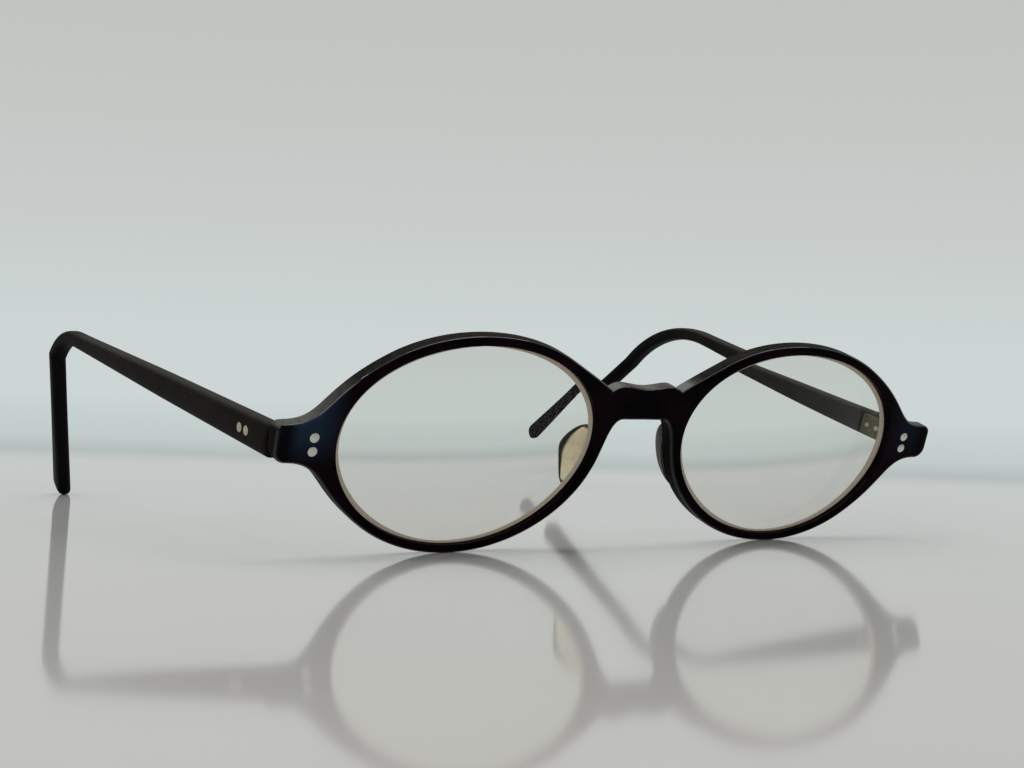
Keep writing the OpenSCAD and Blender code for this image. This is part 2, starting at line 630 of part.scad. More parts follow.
front_frame();
lens(RIGHT);  // right_lens
lens(LEFT);  // left_lens
nose_pad(RIGHT);  // right_nose_pad
nose_pad(LEFT);  // left_nose_pad
front_hinge(RIGHT);  // right_front_hinge
front_hinge(LEFT);  // left_front_hinge
hinge_screw(RIGHT);  // right_hinge_screw
hinge_screw(LEFT);  // left_hinge_screw
front_rivet(RIGHT, 1);  // right_upper_front_rivet
front_rivet(RIGHT, -1);  // right_lower_front_rivet
front_rivet(LEFT, 1);  // left_upper_front_rivet
front_rivet(LEFT, -1);  // left_lower_front_rivet
temple(RIGHT);  // right_temple
temple_hinge(RIGHT);  // right_temple_hinge
temple_wire(RIGHT);  // right_temple_wire
temple_rivet(RIGHT, -1);  // right_fore_temple_rivet
temple_rivet(RIGHT, 1);  // right_rear_temple_rivet
temple(LEFT);  // left_temple
temple_hinge(LEFT);  // left_temple_hinge
temple_wire(LEFT);  // left_temple_wire
temple_rivet(LEFT, -1);  // left_fore_temple_rivet
temple_rivet(LEFT, 1);  // left_rear_temple_rivet
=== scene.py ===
# %% [markdown]
# # Eyeglasses with oval lenses
#
# The glasses stand open on a glossy pale table. The solid model comes first, as a fixed frame with
# the exact sizes and the joints. This lesson dresses it: the big plastic pieces and the lenses get
# denser surfaces of the same form, and the small metal pieces keep their solids with new finishes.

# %% Load the solid model and keep its box
import json
import math

import bmesh
import bpy
import numpy as np
from mathutils import Matrix


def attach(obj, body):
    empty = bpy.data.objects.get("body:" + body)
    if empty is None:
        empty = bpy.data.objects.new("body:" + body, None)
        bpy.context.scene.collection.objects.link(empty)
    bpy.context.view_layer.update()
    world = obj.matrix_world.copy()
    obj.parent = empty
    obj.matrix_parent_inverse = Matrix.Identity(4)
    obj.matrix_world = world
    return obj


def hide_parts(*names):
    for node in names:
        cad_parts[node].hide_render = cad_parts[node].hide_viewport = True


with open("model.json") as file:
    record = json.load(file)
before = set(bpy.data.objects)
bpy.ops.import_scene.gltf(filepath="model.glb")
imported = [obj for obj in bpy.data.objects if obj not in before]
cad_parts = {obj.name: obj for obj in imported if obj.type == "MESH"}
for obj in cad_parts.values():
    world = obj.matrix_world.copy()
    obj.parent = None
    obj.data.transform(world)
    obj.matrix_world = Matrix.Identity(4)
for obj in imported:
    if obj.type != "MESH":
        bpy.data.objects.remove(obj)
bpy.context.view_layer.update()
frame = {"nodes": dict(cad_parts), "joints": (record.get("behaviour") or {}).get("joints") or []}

# %% [markdown]
# ## The sizes that everything follows
#
# A front for glasses is drawn flat, like a pattern on a sheet: across, up, and the depth behind the
# sheet's front face. We keep the same driving sizes as the solid model, in millimetres, measured
# from the point midway between the two lens openings.

# %% Sizes of the front, in millimetres
OPENING_W, OPENING_H, OPENING_GAP = 47.1, 34.0, 18.3
EGG_TURN, EGG_DROP = 0.013, 0.016
FRONT_T = 3.0
RIM_TOP, RIM_BOTTOM, RIM_NOSE, RIM_SIDE = 1.6, 1.55, 2.0, 1.75
FRONT_ROUND, BACK_ROUND, OPENING_ROUND = 0.75, 0.35, 0.3
END_REACH, END_TOP, END_BOTTOM, END_TOP_R, END_BOTTOM_R = 10.3, 3.5, 2.9, 1.2, 2.2
SADDLE_Z, SHOULDER_Z, SHOULDER_X, NOTCH_X, NOTCH_Z = 9.9, 10.4, 4.7, 7.2, 9.5
ARCH_Z, ARCH_X = 4.4, 4.0
LENS_T, LENS_FRONT_R, LENS_BACK_R = 1.3, 300.0, 131.0
LENS_INSET, LENS_SET_BACK = 1.4, 0.55
GROOVE_D, GROOVE_W, GROOVE_Y, LENS_PLAY = 0.5, 0.9, 1.9, 0.02
PAD_REACH, PAD_T, PAD_MIDDLE, PAD_HALF, PAD_FLARE, LENS_GAP = 3.8, 2.2, 190.0, 18.0, 9.0, 0.12

LENS_X = (OPENING_GAP + OPENING_W) / 2
END_U = OPENING_W / 2 + END_REACH
print("lens middle at", round(LENS_X, 2), "mm, end piece to", round(LENS_X + END_U, 2), "mm")

# %% Sizes of the temples, in millimetres and degrees
SHAFT_L = {"right": 81.0, "left": 70.2}
BEND_R = {"right": 11.0, "left": 35.4}
EAR_L = {"right": 39.0, "left": 33.0}
BEND = {"right": 57.5, "left": 51.2}
EAR_IN = {"right": 16.0, "left": 10.4}
SPLAY = {"right": 4.2, "left": 2.4}
TILT = {"right": 7.6, "left": 2.8}
TEMPLE_H, TEMPLE_MID_H, TEMPLE_BEND_H, TEMPLE_EAR_H, TEMPLE_TIP_H = 5.6, 4.5, 2.65, 2.77, 5.2
TEMPLE_T, TIP_ROUND, SQUARENESS = 3.1, 2.4, 3.2
TEMPLE_DROP, TEMPLE_PROUD, JOINT_GAP = 0.25, 0.15, 0.12
PIN_IN, PIN_BACK = 1.3, 1.25
JOINT_X = LENS_X + END_U + TEMPLE_PROUD - TEMPLE_T / 2
JOINT_Y = FRONT_T + JOINT_GAP
PIN = np.array([JOINT_X - TEMPLE_T / 2 - PIN_IN, FRONT_T + PIN_BACK, (END_TOP - END_BOTTOM) / 2])
SIDES = {"right": -1, "left": 1}
print("hinge pin at", PIN, "mm on the front")

# %% [markdown]
# ## From the pattern to the table
#
# The glasses rest on their rims and one temple tip, so the whole front leans. The solid model has
# already worked the lean out, and its hinge axis shows it: the axis runs straight up the front. One
# turn about x and one shift, both read from the hinge, bring every point to its place.

# %% The lean and the shift, from the left hinge
hinge = next(j for j in frame["joints"] if j["name"] == "left_temple_fold")
LEAN = math.atan2(-hinge["axis"][1], hinge["axis"][2])
TURN = np.array([[1, 0, 0],
                 [0, math.cos(LEAN), -math.sin(LEAN)],
                 [0, math.sin(LEAN), math.cos(LEAN)]])
SHIFT = np.array(hinge["pos_m"]) * 1000 - TURN @ PIN


def on_table(points):
    """Places of points on the table, in metres: turned about x by the lean, then shifted."""
    return (np.asarray(points) @ TURN.T + SHIFT) / 1000


print("lean", round(math.degrees(LEAN), 3), "degrees, shift", SHIFT.round(3), "mm")

# %% [markdown]
# ## Curves of the front
#
# A lens opening is nearly an ellipse. Two small waves turn and drop it like an egg, which is how
# real openings differ from a plain oval. Everything round it is measured off this one curve: the
# rim is a band of slowly changing width, and short cubic curves join the rims to the bridge and
# to the end pieces.

# %% The opening and its rim


def unit(v):
    """A vector divided by its own length."""
    return v / np.linalg.norm(v, axis=-1, keepdims=True)


def square_to(v):
    """A flat vector turned a quarter turn clockwise."""
    return np.stack([v[..., 1], -v[..., 0]], axis=-1)


def opening_pt(a):
    """Half the width times the cosine and half the height times the sine, both times the egg waves."""
    r = np.radians(a)
    egg = 1 - EGG_TURN * np.sin(2 * r) + EGG_DROP * np.sin(3 * r)
    return np.stack([egg * OPENING_W / 2 * np.cos(r), egg * OPENING_H / 2 * np.sin(r)], axis=-1)


def outward(a):
    """The direction square to the opening's edge at angle a."""
    return unit(square_to(opening_pt(a + 0.5) - opening_pt(a - 0.5)))


def edge_pt(a, d):
    """The opening's edge at angle a, moved outwards by d."""
    return opening_pt(a) + np.asarray(d)[..., None] * outward(a)


def rim_pt(a):
    """The rim's outer edge: top or bottom width by the squared sine, side widths by the squared cosine."""
    r = np.radians(a)
    width = (np.where(np.sin(r) > 0, RIM_TOP, RIM_BOTTOM) * np.sin(r) ** 2
             + np.where(np.cos(r) < 0, RIM_NOSE, RIM_SIDE) * np.cos(r) ** 2)
    return edge_pt(a, width)


def rim_way(a, turn):
    """The direction along the rim's outer edge at angle a, one way or the other."""
    return turn * unit(rim_pt(a + 0.5) - rim_pt(a - 0.5))


print("rim's top at", rim_pt(np.array(90.0)).round(2), "from the opening's middle")

# %% [markdown]
# ## The outline of half the front
#
# The outline starts at the middle of the saddle, over the nose, and runs clockwise: shoulder,
# notch, over the rim, out along the end piece, back under the rim and up to the arch. Joining named
# corner points with cubic curves keeps each part of the shape easy to move by itself. A curve's
# pull says how far it runs on in the direction that it starts or ends with.

# %% Half outline, clockwise from the saddle to the arch
DENSE = 4


def cubic(p, q, r, s, n):
    """Points of a cubic curve with end points p and s and pulls q and r, without the last point."""
    t = np.linspace(0, 1, n * DENSE, endpoint=False)[:, None]
    m = 1 - t
    return m ** 3 * p + 3 * m * m * t * q + 3 * m * t * t * r + t ** 3 * s


def rim_run(a0, a1, n):
    """Points along the rim from one angle to another, without the last point."""
    return rim_pt(np.linspace(a0, a1, n * DENSE, endpoint=False))


def at(x, z):
    """A flat point as an array."""
    return np.array([x, z], dtype=float)


TOP_START, TOP_END, LOW_START, LOW_END = 131.0, 50.0, -48.0, -166.0
NECK_X, END_SLOPE = END_U - 2.2, 0.05
SADDLE_PULL, SHOULDER_IN, SHOULDER_OUT, ARCH_PULL = 1.8, 1.2, 1.0, 2.5
NOTCH_IN, NOTCH_OUT, RIM_PULL_NOTCH, RIM_PULL_ARCH, RIM_SKIP = (-0.6, 0.3), (0.3, 0.5), 2.0, 4.5, 0.6
RIM_PULL_TOP, RIM_PULL_LOW, END_PULL_TOP, END_PULL_LOW = 12.5, 11.3, 6.2, 6.7
ROUND_PULL = 0.55
saddle, shoulder = at(-LENS_X, SADDLE_Z), at(SHOULDER_X - LENS_X, SHOULDER_Z)
notch, arch = at(NOTCH_X - LENS_X, NOTCH_Z), at(ARCH_X - LENS_X, ARCH_Z)
end_top, end_bottom = at(NECK_X, END_TOP), at(NECK_X, -END_BOTTOM)
top_corner = at(END_U - END_TOP_R, END_TOP - END_SLOPE * (END_U - END_TOP_R - NECK_X))
low_corner = at(END_U - END_BOTTOM_R, -END_BOTTOM)
rim_a, rim_b = rim_pt(np.array(TOP_START)), rim_pt(np.array(TOP_END))
rim_c, rim_d = rim_pt(np.array(LOW_START)), rim_pt(np.array(LOW_END))
bridge_top = np.concatenate([
    cubic(saddle, saddle + at(SADDLE_PULL, 0), shoulder - at(SHOULDER_IN, 0), shoulder, 5),
    cubic(shoulder, shoulder + at(SHOULDER_OUT, 0), notch + at(*NOTCH_IN), notch, 5)])
half = np.concatenate([
    bridge_top,
    cubic(notch, notch + at(*NOTCH_OUT), rim_a + rim_way(TOP_START, 1) * RIM_PULL_NOTCH, rim_a, 7),
    rim_run(TOP_START, TOP_END, 18),
    cubic(rim_b, rim_b + rim_way(TOP_END, -1) * RIM_PULL_TOP,
          end_top - END_PULL_TOP * at(1, -END_SLOPE), end_top, 12),
    cubic(top_corner, top_corner + at(END_TOP_R * ROUND_PULL, 0),
          at(END_U, top_corner[1] - END_TOP_R * (1 - ROUND_PULL)), at(END_U, top_corner[1] - END_TOP_R), 5),
    cubic(at(END_U, low_corner[1] + END_BOTTOM_R), at(END_U, low_corner[1] + END_BOTTOM_R * (1 - ROUND_PULL)),
          low_corner + at(END_BOTTOM_R * ROUND_PULL, 0), low_corner, 5),
    cubic(end_bottom, end_bottom - at(END_PULL_LOW, 0),
          rim_c + rim_way(LOW_START, 1) * RIM_PULL_LOW, rim_c, 12),
    rim_run(LOW_START, LOW_END, 26),
    cubic(rim_d + rim_way(LOW_END, -1) * RIM_SKIP, rim_d + rim_way(LOW_END, -1) * RIM_PULL_ARCH,
          arch + at(ARCH_PULL, 0), arch, 10),
    [arch, at(-LENS_X, ARCH_Z)]]) + at(LENS_X, 0)
NOTCH_I = len(bridge_top)
print(len(half), "points on half the outline")

# %% [markdown]
# ## Meshes from grids of points
#
# Nearly every surface here is a grid: rings of points that follow each other along a path. One
# helper turns such a grid into faces. It works on whole arrays, so thousands of points cost
# nothing, and a last pass merges doubled points and turns all faces outwards. Each piece then
# rides on its body, so that it moves with its hinge, and takes the place of a solid.

# %% Grid faces and mesh building


def grid_faces(rings, sides, base=0):
    """Faces between ring k and k + 1 and side i and i + 1, with the sides closed in a circle."""
    k, i = np.meshgrid(np.arange(rings - 1), np.arange(sides), indexing="ij")
    j = (i + 1) % sides
    corners = [k * sides + i, k * sides + j, (k + 1) * sides + j, (k + 1) * sides + i]
    return base + np.stack(corners, -1).reshape(-1, 4)


def build(name, points, faces, values=None, sharp=35, slots=None):
    """A smooth mesh object from points in metres and lists of faces, with values stored per point."""
    mesh = bpy.data.meshes.new(name)
    mesh.from_pydata(np.asarray(points).tolist(), [], faces)
    for key, column in (values or {}).items():
        stored = mesh.attributes.new(key, "FLOAT", "POINT")
        stored.data.foreach_set("value", np.asarray(column, np.float32).ravel())
    if slots is not None:
        mesh.polygons.foreach_set("material_index", np.asarray(slots, np.int32))
    bm = bmesh.new()
    bm.from_mesh(mesh)
    bmesh.ops.remove_doubles(bm, verts=bm.verts, dist=1e-8)
    bmesh.ops.dissolve_degenerate(bm, edges=bm.edges, dist=1e-9)
    bmesh.ops.recalc_face_normals(bm, faces=bm.faces)
    bm.to_mesh(mesh)
    bm.free()
    mesh.shade_smooth()
    mesh.set_sharp_from_angle(angle=math.radians(sharp))
    thing = bpy.data.objects.new(name, mesh)
    bpy.context.scene.collection.objects.link(thing)
    print(name, len(mesh.vertices), "points,", len(mesh.polygons), "faces")
    return thing


def stand_in(thing, body, slot, *nodes):
    """The piece rides on its body and stands for its solid nodes; its slot is not used."""
    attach(thing, body)
    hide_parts(*nodes)


print("mesh helpers ready")

# %% [markdown]
# ## The front frame
#
# The real front is one sheet of plastic: cut out, its outer edge rounded over by hand, and a
# V groove routed inside each opening for the lens. So we carry one profile round the outline and
# one round each opening, and fill the flat faces between. A ring set in by a hair beside each
# rounding keeps the flat faces flat when they are shaded smooth.

# %% Profiles of the outer edge and of an opening, as pairs of depth and offset
HAIR = 0.06
BACK_EDGE = 0.15


def quarter(r, steps):
    """A quarter round from the face down to the wall, as pairs of depth and offset."""
    a = np.linspace(0, np.pi / 2, steps + 1)
    return np.stack([r * (1 - np.cos(a)), r * (1 - np.sin(a))], -1)


def flipped(profile):
    """The same profile from the wall to the back face."""
    return np.stack([FRONT_T - profile[:, 0], profile[:, 1]], -1)[::-1]


outer_profile = np.concatenate([
    [[0, FRONT_ROUND + HAIR]], quarter(FRONT_ROUND, 10),
    [[FRONT_T / 2, 0]],
    flipped(quarter(BACK_ROUND, 5)), [[FRONT_T, BACK_ROUND + HAIR]]])
opening_profile = np.concatenate([
    [[0, OPENING_ROUND + HAIR]], quarter(OPENING_ROUND, 5),
    [[GROOVE_Y - GROOVE_W / 2, 0], [GROOVE_Y, GROOVE_D], [GROOVE_Y + GROOVE_W / 2, 0]],
    flipped(quarter(BACK_EDGE, 3)), [[FRONT_T, BACK_EDGE + HAIR]]])
print(len(outer_profile), "rings outside,", len(opening_profile), "rings in each opening")

# %% Rings round the outline and round each opening
OPENING_N = 288
SEAM = 160.0
SMOOTH_SPAN = 5

outline = np.concatenate([half, (half * [-1, 1])[-2:0:-1]])
across = np.roll(outline, -1, 0) - np.roll(outline, 1, 0)
window = np.arange(-SMOOTH_SPAN, SMOOTH_SPAN + 1)
across = sum(np.roll(unit(across), s, 0) * (SMOOTH_SPAN + 1 - abs(s)) for s in window)
inward = square_to(unit(across))


def outer_ring(depth, offset):
    """The outline moved inwards by an offset, at one depth."""
    p = outline + offset * inward
    return np.stack([p[:, 0], np.full(len(p), depth), p[:, 1]], -1)


def opening_ring(depth, offset, side):
    """The edge of one opening moved outwards by an offset, at one depth."""
    p = edge_pt(SEAM - 360 * np.arange(OPENING_N) / OPENING_N, np.full(OPENING_N, offset))
    return np.stack([side * (LENS_X + p[:, 0]), np.full(OPENING_N, depth), p[:, 1]], -1)


rings = [outer_ring(*q) for q in outer_profile]
holes = {side: [opening_ring(*q, side) for q in opening_profile] for side in (1, -1)}
points = np.concatenate(rings + holes[1] + holes[-1])
n_out, n_half = len(outline), len(half)
hole_base = {1: len(rings) * n_out, -1: len(rings) * n_out + len(holes[1]) * OPENING_N}
print(len(points), "points in all rings")

# %% [markdown]
# ## The flat faces between outline and opening
#
# A flat face with a hole could be one many-sided face, but such a face shades badly and may close
# over its hole. So each outline point gets a partner on the opening, and triangles run between the
# two. The bridge's points all share one partner, the seam. The others go by their angle round the
# opening and never turn back, so no two triangles cross.

# %% Partners and the triangles of one half
clock = (SEAM - np.degrees(np.arctan2(half[:, 1] / OPENING_H, (half[:, 0] - LENS_X) / OPENING_W))) % 360
partner = np.round(clock / 360 * OPENING_N).astype(int)
partner[:NOTCH_I + 1] = 0
partner[-2:] = OPENING_N
partner = np.maximum.accumulate(partner)
i = np.arange(n_half - 1)
k = np.arange(OPENING_N)
from_outline = np.stack([i, i + 1, partner[i + 1] % OPENING_N + n_out], -1)
owner = np.searchsorted(partner, k, side="right") - 1
from_opening = np.stack([(k + 1) % OPENING_N + n_out, k + n_out, owner], -1)
middle = np.array([[n_half - 1, 0, n_out]])
face_half = np.concatenate([from_outline, from_opening, middle])
print(len(face_half), "triangles on half a flat face")

# %% All faces of the front


def flat_side(ring, hole, side):
    """The triangles of one half's flat face, from the outer ring and the opening's ring that bound it."""
    outer_i = np.arange(n_half) if side > 0 else (n_out - np.arange(n_half)) % n_out
    to = np.concatenate([ring * n_out + outer_i, np.zeros(n_out - n_half, int),
                         hole_base[side] + hole * OPENING_N + np.arange(OPENING_N)])
    return to[face_half] if side > 0 else to[face_half][:, ::-1]


faces = grid_faces(len(rings), n_out).tolist()
for side in (1, -1):
    faces += grid_faces(len(opening_profile), OPENING_N, hole_base[side]).tolist()
    faces += flat_side(0, 0, side).tolist()
    faces += flat_side(len(rings) - 1, len(opening_profile) - 1, side)[:, ::-1].tolist()
print(len(faces), "faces on the front")

# %% [markdown]
# ## Where the front is worn
#
# Years of handling have dulled the outer edge: on top of the end pieces, on the saddle and in the
# two filed notches beside the bridge. A finish can follow that if the mesh carries it, so each
# point stores five values: whether it lies on the outer edge, on its polished bevel or on an
# opening's wall, and how worn or filed its place is. The pale grey that the finish gives the worn
# places is also painted top light, as it shows only where the edge faces up.

# %% Values for the edge and the wear
WEAR_FROM, WEAR_OVER, END_WEAR, SADDLE_WEAR = 54.0, 5.0, 0.62, 0.85
SADDLE_REACH, NOTCH_REACH, NOTCH_WEAR = 4.0, 2.1, 1.5
UPPER_HALF = 0.6
EDGE_FROM, EDGE_OVER, BEVEL_AT, BEVEL_REACH, WALL_FROM, WALL_OVER = 0.4, 0.3, 0.3, 0.3, 0.1, 0.2


def near(p, x, z, reach):
    """A soft spot: one at the middle, falling away with the squared distance, alike on both sides."""
    d2 = (np.abs(p[:, 0]) - x) ** 2 + (p[:, 2] - z) ** 2
    return np.exp(-d2 / reach ** 2)


def ramp(value, start, length):
    """Nought up to the start, one past its length, and an even rise between."""
    return np.clip((value - start) / length, 0, 1)


def per_ring(outer_values, opening_values):
    """One value per point, given one for each ring of the outer edge and of both openings."""
    return np.concatenate([np.repeat(outer_values, n_out), np.tile(np.repeat(opening_values, OPENING_N), 2)])


outer_depth, opening_depth = outer_profile[:, 0], opening_profile[:, 0]
edge = per_ring(ramp(outer_depth, EDGE_FROM, EDGE_OVER), 0 * opening_depth)
bevel = per_ring(np.exp(-((outer_depth - BEVEL_AT) / BEVEL_REACH) ** 2), 0 * opening_depth)
inner = per_ring(0 * outer_depth, ramp(opening_depth, WALL_FROM, WALL_OVER))
# These worn spots also get painted top light in the finish: pale grey only where the edge faces up.
end_top_wear = ramp(np.abs(points[:, 0]), WEAR_FROM, WEAR_OVER) * END_WEAR
saddle_wear = near(points, 0, SADDLE_Z, SADDLE_REACH) * SADDLE_WEAR
worn = np.clip(end_top_wear + saddle_wear, 0, 1) * (points[:, 2] > UPPER_HALF)
filed = np.clip(near(points, NOTCH_X, NOTCH_Z, NOTCH_REACH) * NOTCH_WEAR, 0, 1)
front = build("front_plate", on_table(points), faces,
              {"edge": edge, "bevel": bevel, "inner": inner, "worn": worn, "filed": filed})
stand_in(front, "front", "acetate", "front_frame")

# %% [markdown]
# ## The lenses
#
# A lens for short sight is thin in the middle and thick at its rim, with a V edge that sits in the
# groove. Two ball surfaces and the V edge make it. The edge is ground, not polished, and shows
# through the glass as a pale ring, so its faces get a finish of their own.

# %% Rings of a lens from the front middle round the edge to the back middle
LENS_SIDES, LENS_RINGS, CLEAR_SHARE = 240, 24, 0.94
RING_W, RING_MORE = 0.24, 0.70
OPTICAL_X = LENS_X - LENS_INSET
STEP_BACK = 0.005


def lens_depth(x, z, radius, start):
    """Depth of a ball surface: its nearest point plus the ball's fall-away at that distance."""
    return start + radius - np.sqrt(radius ** 2 - (x - OPTICAL_X) ** 2 - z ** 2)


def front_depth(x, z):
    """Depth of the lens's front surface."""
    return lens_depth(x, z, LENS_FRONT_R, LENS_SET_BACK)


def back_depth(x, z):
    """Depth of the lens's back surface, one thickness behind the front one in the middle."""
    return lens_depth(x, z, LENS_BACK_R, LENS_SET_BACK + LENS_T)


def rings_at(flat, y):
    """Rings of points from their flat places, measured from the opening's middle, and their depths."""
    return np.stack([LENS_X + flat[..., 0], y, flat[..., 1]], -1)


# A face has rings at shares of the rim that grow like a sine, then one where the ground ring
# starts, which is wider at the sides, and the rim itself.
lens_a = np.linspace(0, 360, LENS_SIDES, endpoint=False)
lens_rim = edge_pt(lens_a, np.full(LENS_SIDES, -LENS_PLAY))
share = np.sin(np.linspace(0, np.pi / 2, LENS_RINGS + 1))[1:-1] * CLEAR_SHARE
ring_w = RING_W + RING_MORE * np.abs(np.cos(np.radians(lens_a)))
flat = np.concatenate([share[:, None, None] * lens_rim, [edge_pt(lens_a, -LENS_PLAY - ring_w), lens_rim]])
face_x, face_z = LENS_X + flat[..., 0], flat[..., 1]

# The V edge follows the groove, but never comes before the front surface.
v_flat = np.stack([lens_rim, edge_pt(lens_a, np.full(LENS_SIDES, GROOVE_D - LENS_PLAY)), lens_rim])
v_depth = GROOVE_Y + GROOVE_W / 2 * np.array([-1, 0, 1])
behind_front = front_depth(face_x, face_z)[-1] + STEP_BACK * np.array([[1], [2], [3]])
lens_stack = np.concatenate([
    rings_at(flat, front_depth(face_x, face_z)),
    rings_at(v_flat, np.maximum(v_depth[:, None], behind_front)),
    rings_at(flat, back_depth(face_x, face_z))[::-1]])
lens_middles = np.array([[LENS_X, depth_at(LENS_X, 0), 0] for depth_at in (front_depth, back_depth)])
print(len(lens_stack), "rings of", LENS_SIDES, "points on a lens")

# %% Faces of a lens, and which of them are ground
i = np.arange(LENS_SIDES)
j = (i + 1) % LENS_SIDES
front_middle, last_ring = len(lens_stack) * LENS_SIDES, (len(lens_stack) - 1) * LENS_SIDES
lens_faces = grid_faces(len(lens_stack), LENS_SIDES).tolist()
lens_faces += np.stack([j, i, np.full_like(i, front_middle)], -1).tolist()
lens_faces += np.stack([last_ring + i, last_ring + j, np.full_like(i, front_middle + 1)], -1).tolist()
ring_of = np.repeat(np.arange(len(lens_stack) - 1), LENS_SIDES)
is_ground = (ring_of >= len(flat) - 2) & (ring_of < len(flat) + len(v_flat))
lens_slots = np.concatenate([is_ground, np.zeros(2 * LENS_SIDES, int)])
lenses = {}
for name, side in SIDES.items():
    lens_points = np.concatenate([lens_stack.reshape(-1, 3), lens_middles]) * [side, 1, 1]
    lenses[name] = build(name + "_lens_glass", on_table(lens_points), lens_faces, slots=lens_slots)
    stand_in(lenses[name], "front", "lens", name + "_lens")

# %% [markdown]
# ## The nose pads
#
# On a plastic frame the pads are small fins behind the rims, thin at both ends and rounded where
# they lie on the nose. Each is a half oval that swells and shrinks as it follows the opening's
# edge, so it is again rings on a path: the half oval is one way of the grid, the edge the other.
# Its place along the path goes from -1 at the top to 1 at the bottom. These pads are fullest just
# above their middle, where they also splay out most.

# %% The pad's path, its fullness and its half oval
PAD_STEPS, PAD_SIDES, PAD_SUNK = 40, 24, 0.02
FULL_TOP, FULL_LOW, FULL_LEAST = 0.28, 0.36, 0.004
SWELL_AT, SWELL_UP, SWELL_DOWN = -0.12, 0.95, 0.75
SWELL_REACH, LOW_LOSS, SWELL_FLARE = 0.34, 0.10, 10.0
OVAL_REACH, OVAL_T = 0.6, 0.65

path = -np.cos(np.linspace(0, np.pi, PAD_STEPS + 1))
full = np.maximum(FULL_LEAST, 1 - path * path) ** np.where(path < 0, FULL_TOP, FULL_LOW)
swell = np.exp(-((path - SWELL_AT) / np.where(path < SWELL_AT, SWELL_UP, SWELL_DOWN)) ** 2)
deepest = PAD_REACH * full * (1 + SWELL_REACH * swell - LOW_LOSS * np.maximum(path, 0))

# The half oval: powers of the sine and the cosine, which square it off a little.
arc = np.linspace(0, np.pi, PAD_SIDES)
oval_reach = np.sin(arc) ** OVAL_REACH
oval_t = np.sign(np.cos(arc)) * np.abs(np.cos(arc)) ** OVAL_T * (PAD_T / 2 - PAD_SUNK)
print("a pad is up to", round(float(deepest.max()), 2), "mm deep")

# %% The surface of a pad, kept clear of the lens where it starts
FREE_FROM, FREE_SLOPE = 0.6, 0.3

pad_a = PAD_MIDDLE + path * PAD_HALF
foot = edge_pt(pad_a, np.full(len(path), LENS_GAP + PAD_T / 2))
reach = deepest[:, None] * oval_reach
out = full[:, None] * oval_t - reach * np.tan(np.radians(PAD_FLARE + SWELL_FLARE * swell))[:, None]
out = np.maximum(out, -PAD_T / 2 - FREE_SLOPE * np.maximum(reach - FREE_FROM, 0))
pad_flat = foot[:, None] + outward(pad_a)[:, None] * out[..., None]
pad_points = np.stack([LENS_X + pad_flat[..., 0], FRONT_T - PAD_SUNK + reach, pad_flat[..., 1]], -1)
pad_faces = grid_faces(PAD_STEPS + 1, PAD_SIDES).tolist()
pad_faces += [list(range(PAD_SIDES)), list(range(PAD_STEPS * PAD_SIDES, (PAD_STEPS + 1) * PAD_SIDES))]
print(pad_points.shape, "points on a pad")

# %% Both pads, with a value for what the nose has stained: its side, the back and the ends
BACK_FROM, BACK_OVER, ENDS_FROM, ENDS_OVER = 0.69, 0.06, 0.86, 0.05

at_back = ramp(oval_reach, BACK_FROM, BACK_OVER)
at_ends = ramp(np.abs(path), ENDS_FROM, ENDS_OVER)
ridge = np.maximum(np.maximum(at_back, np.cos(arc) > 0), at_ends[:, None])
for name, side in SIDES.items():
    side_points = pad_points.reshape(-1, 3) * [side, 1, 1]
    pad = build(name + "_pad", on_table(side_points), pad_faces, {"ridge": ridge}, sharp=50)
    stand_in(pad, "front", "pad", name + "_nose_pad")

# %% [markdown]
# ## The temples
#
# A temple is a flat bar of plastic with softly rounded corners. It is deep at the hinge, thins
# towards the ear, bends down over it and swells again to its tip. We carry a squared oval along a
# line made of a straight part, an arc and a second straight part, and cut the first ring flat so
# that it meets the back of the end piece.

# %% The line and the height of a temple
EASE_SPAN = 5.0


def temple_line(name, run):
    """Middle of the temple after a run: straight, then round the bend, then straight down and inwards."""
    shaft, radius, bend = SHAFT_L[name], BEND_R[name], math.radians(BEND[name])
    turn = np.clip((run - shaft) / radius, 0, bend)
    beyond = np.maximum(0, run - shaft - radius * bend)
    mid = np.stack([-beyond * math.tan(math.radians(EAR_IN[name])),
                    np.minimum(run, shaft) + radius * np.sin(turn) + beyond * np.cos(turn),
                    -radius * (1 - np.cos(turn)) - beyond * np.sin(turn)], -1)
    return mid, turn


def temple_length(name):
    """Shaft, plus the arc, plus the end behind the ear."""
    return SHAFT_L[name] + BEND_R[name] * math.radians(BEND[name]) + EAR_L[name]


def temple_height(name, run):
    """Height of the section: straight lines between five places, eased by the mean over a short span."""
    total = temple_length(name)
    places = [0, SHAFT_L[name] / 2, SHAFT_L[name], total - EAR_L[name] * 2 / 3, total]
    heights = [TEMPLE_H, TEMPLE_MID_H, TEMPLE_BEND_H, TEMPLE_EAR_H, TEMPLE_TIP_H]
    steps = np.linspace(-EASE_SPAN, EASE_SPAN, 11)
    return np.mean([np.interp(run + step, places, heights) for step in steps], axis=0)


def to_front(name, p):
    """From the temple's own axes to the front's: tilted about x, splayed about z, then moved to the joint."""
    a, b = -math.radians(TILT[name]), -math.radians(SPLAY[name])
    tilt = np.array([[1, 0, 0], [0, math.cos(a), -math.sin(a)], [0, math.sin(a), math.cos(a)]])
    splay = np.array([[math.cos(b), -math.sin(b), 0], [math.sin(b), math.cos(b), 0], [0, 0, 1]])
    return p @ (splay @ tilt).T + [JOINT_X, JOINT_Y, -TEMPLE_DROP], splay @ tilt


print({name: round(temple_length(name), 1) for name in SIDES}, "mm along each temple")

# %% Rings of a temple, from the flat butt at the joint to the rounded tip
TEMPLE_SIDES = 96
BUTT_RINGS = ((0, 0.22), (0.06, 0.09), (0.22, 0), (1.2, 0))
SHAFT_START, TIP_SWEEP = 3.0, 0.985

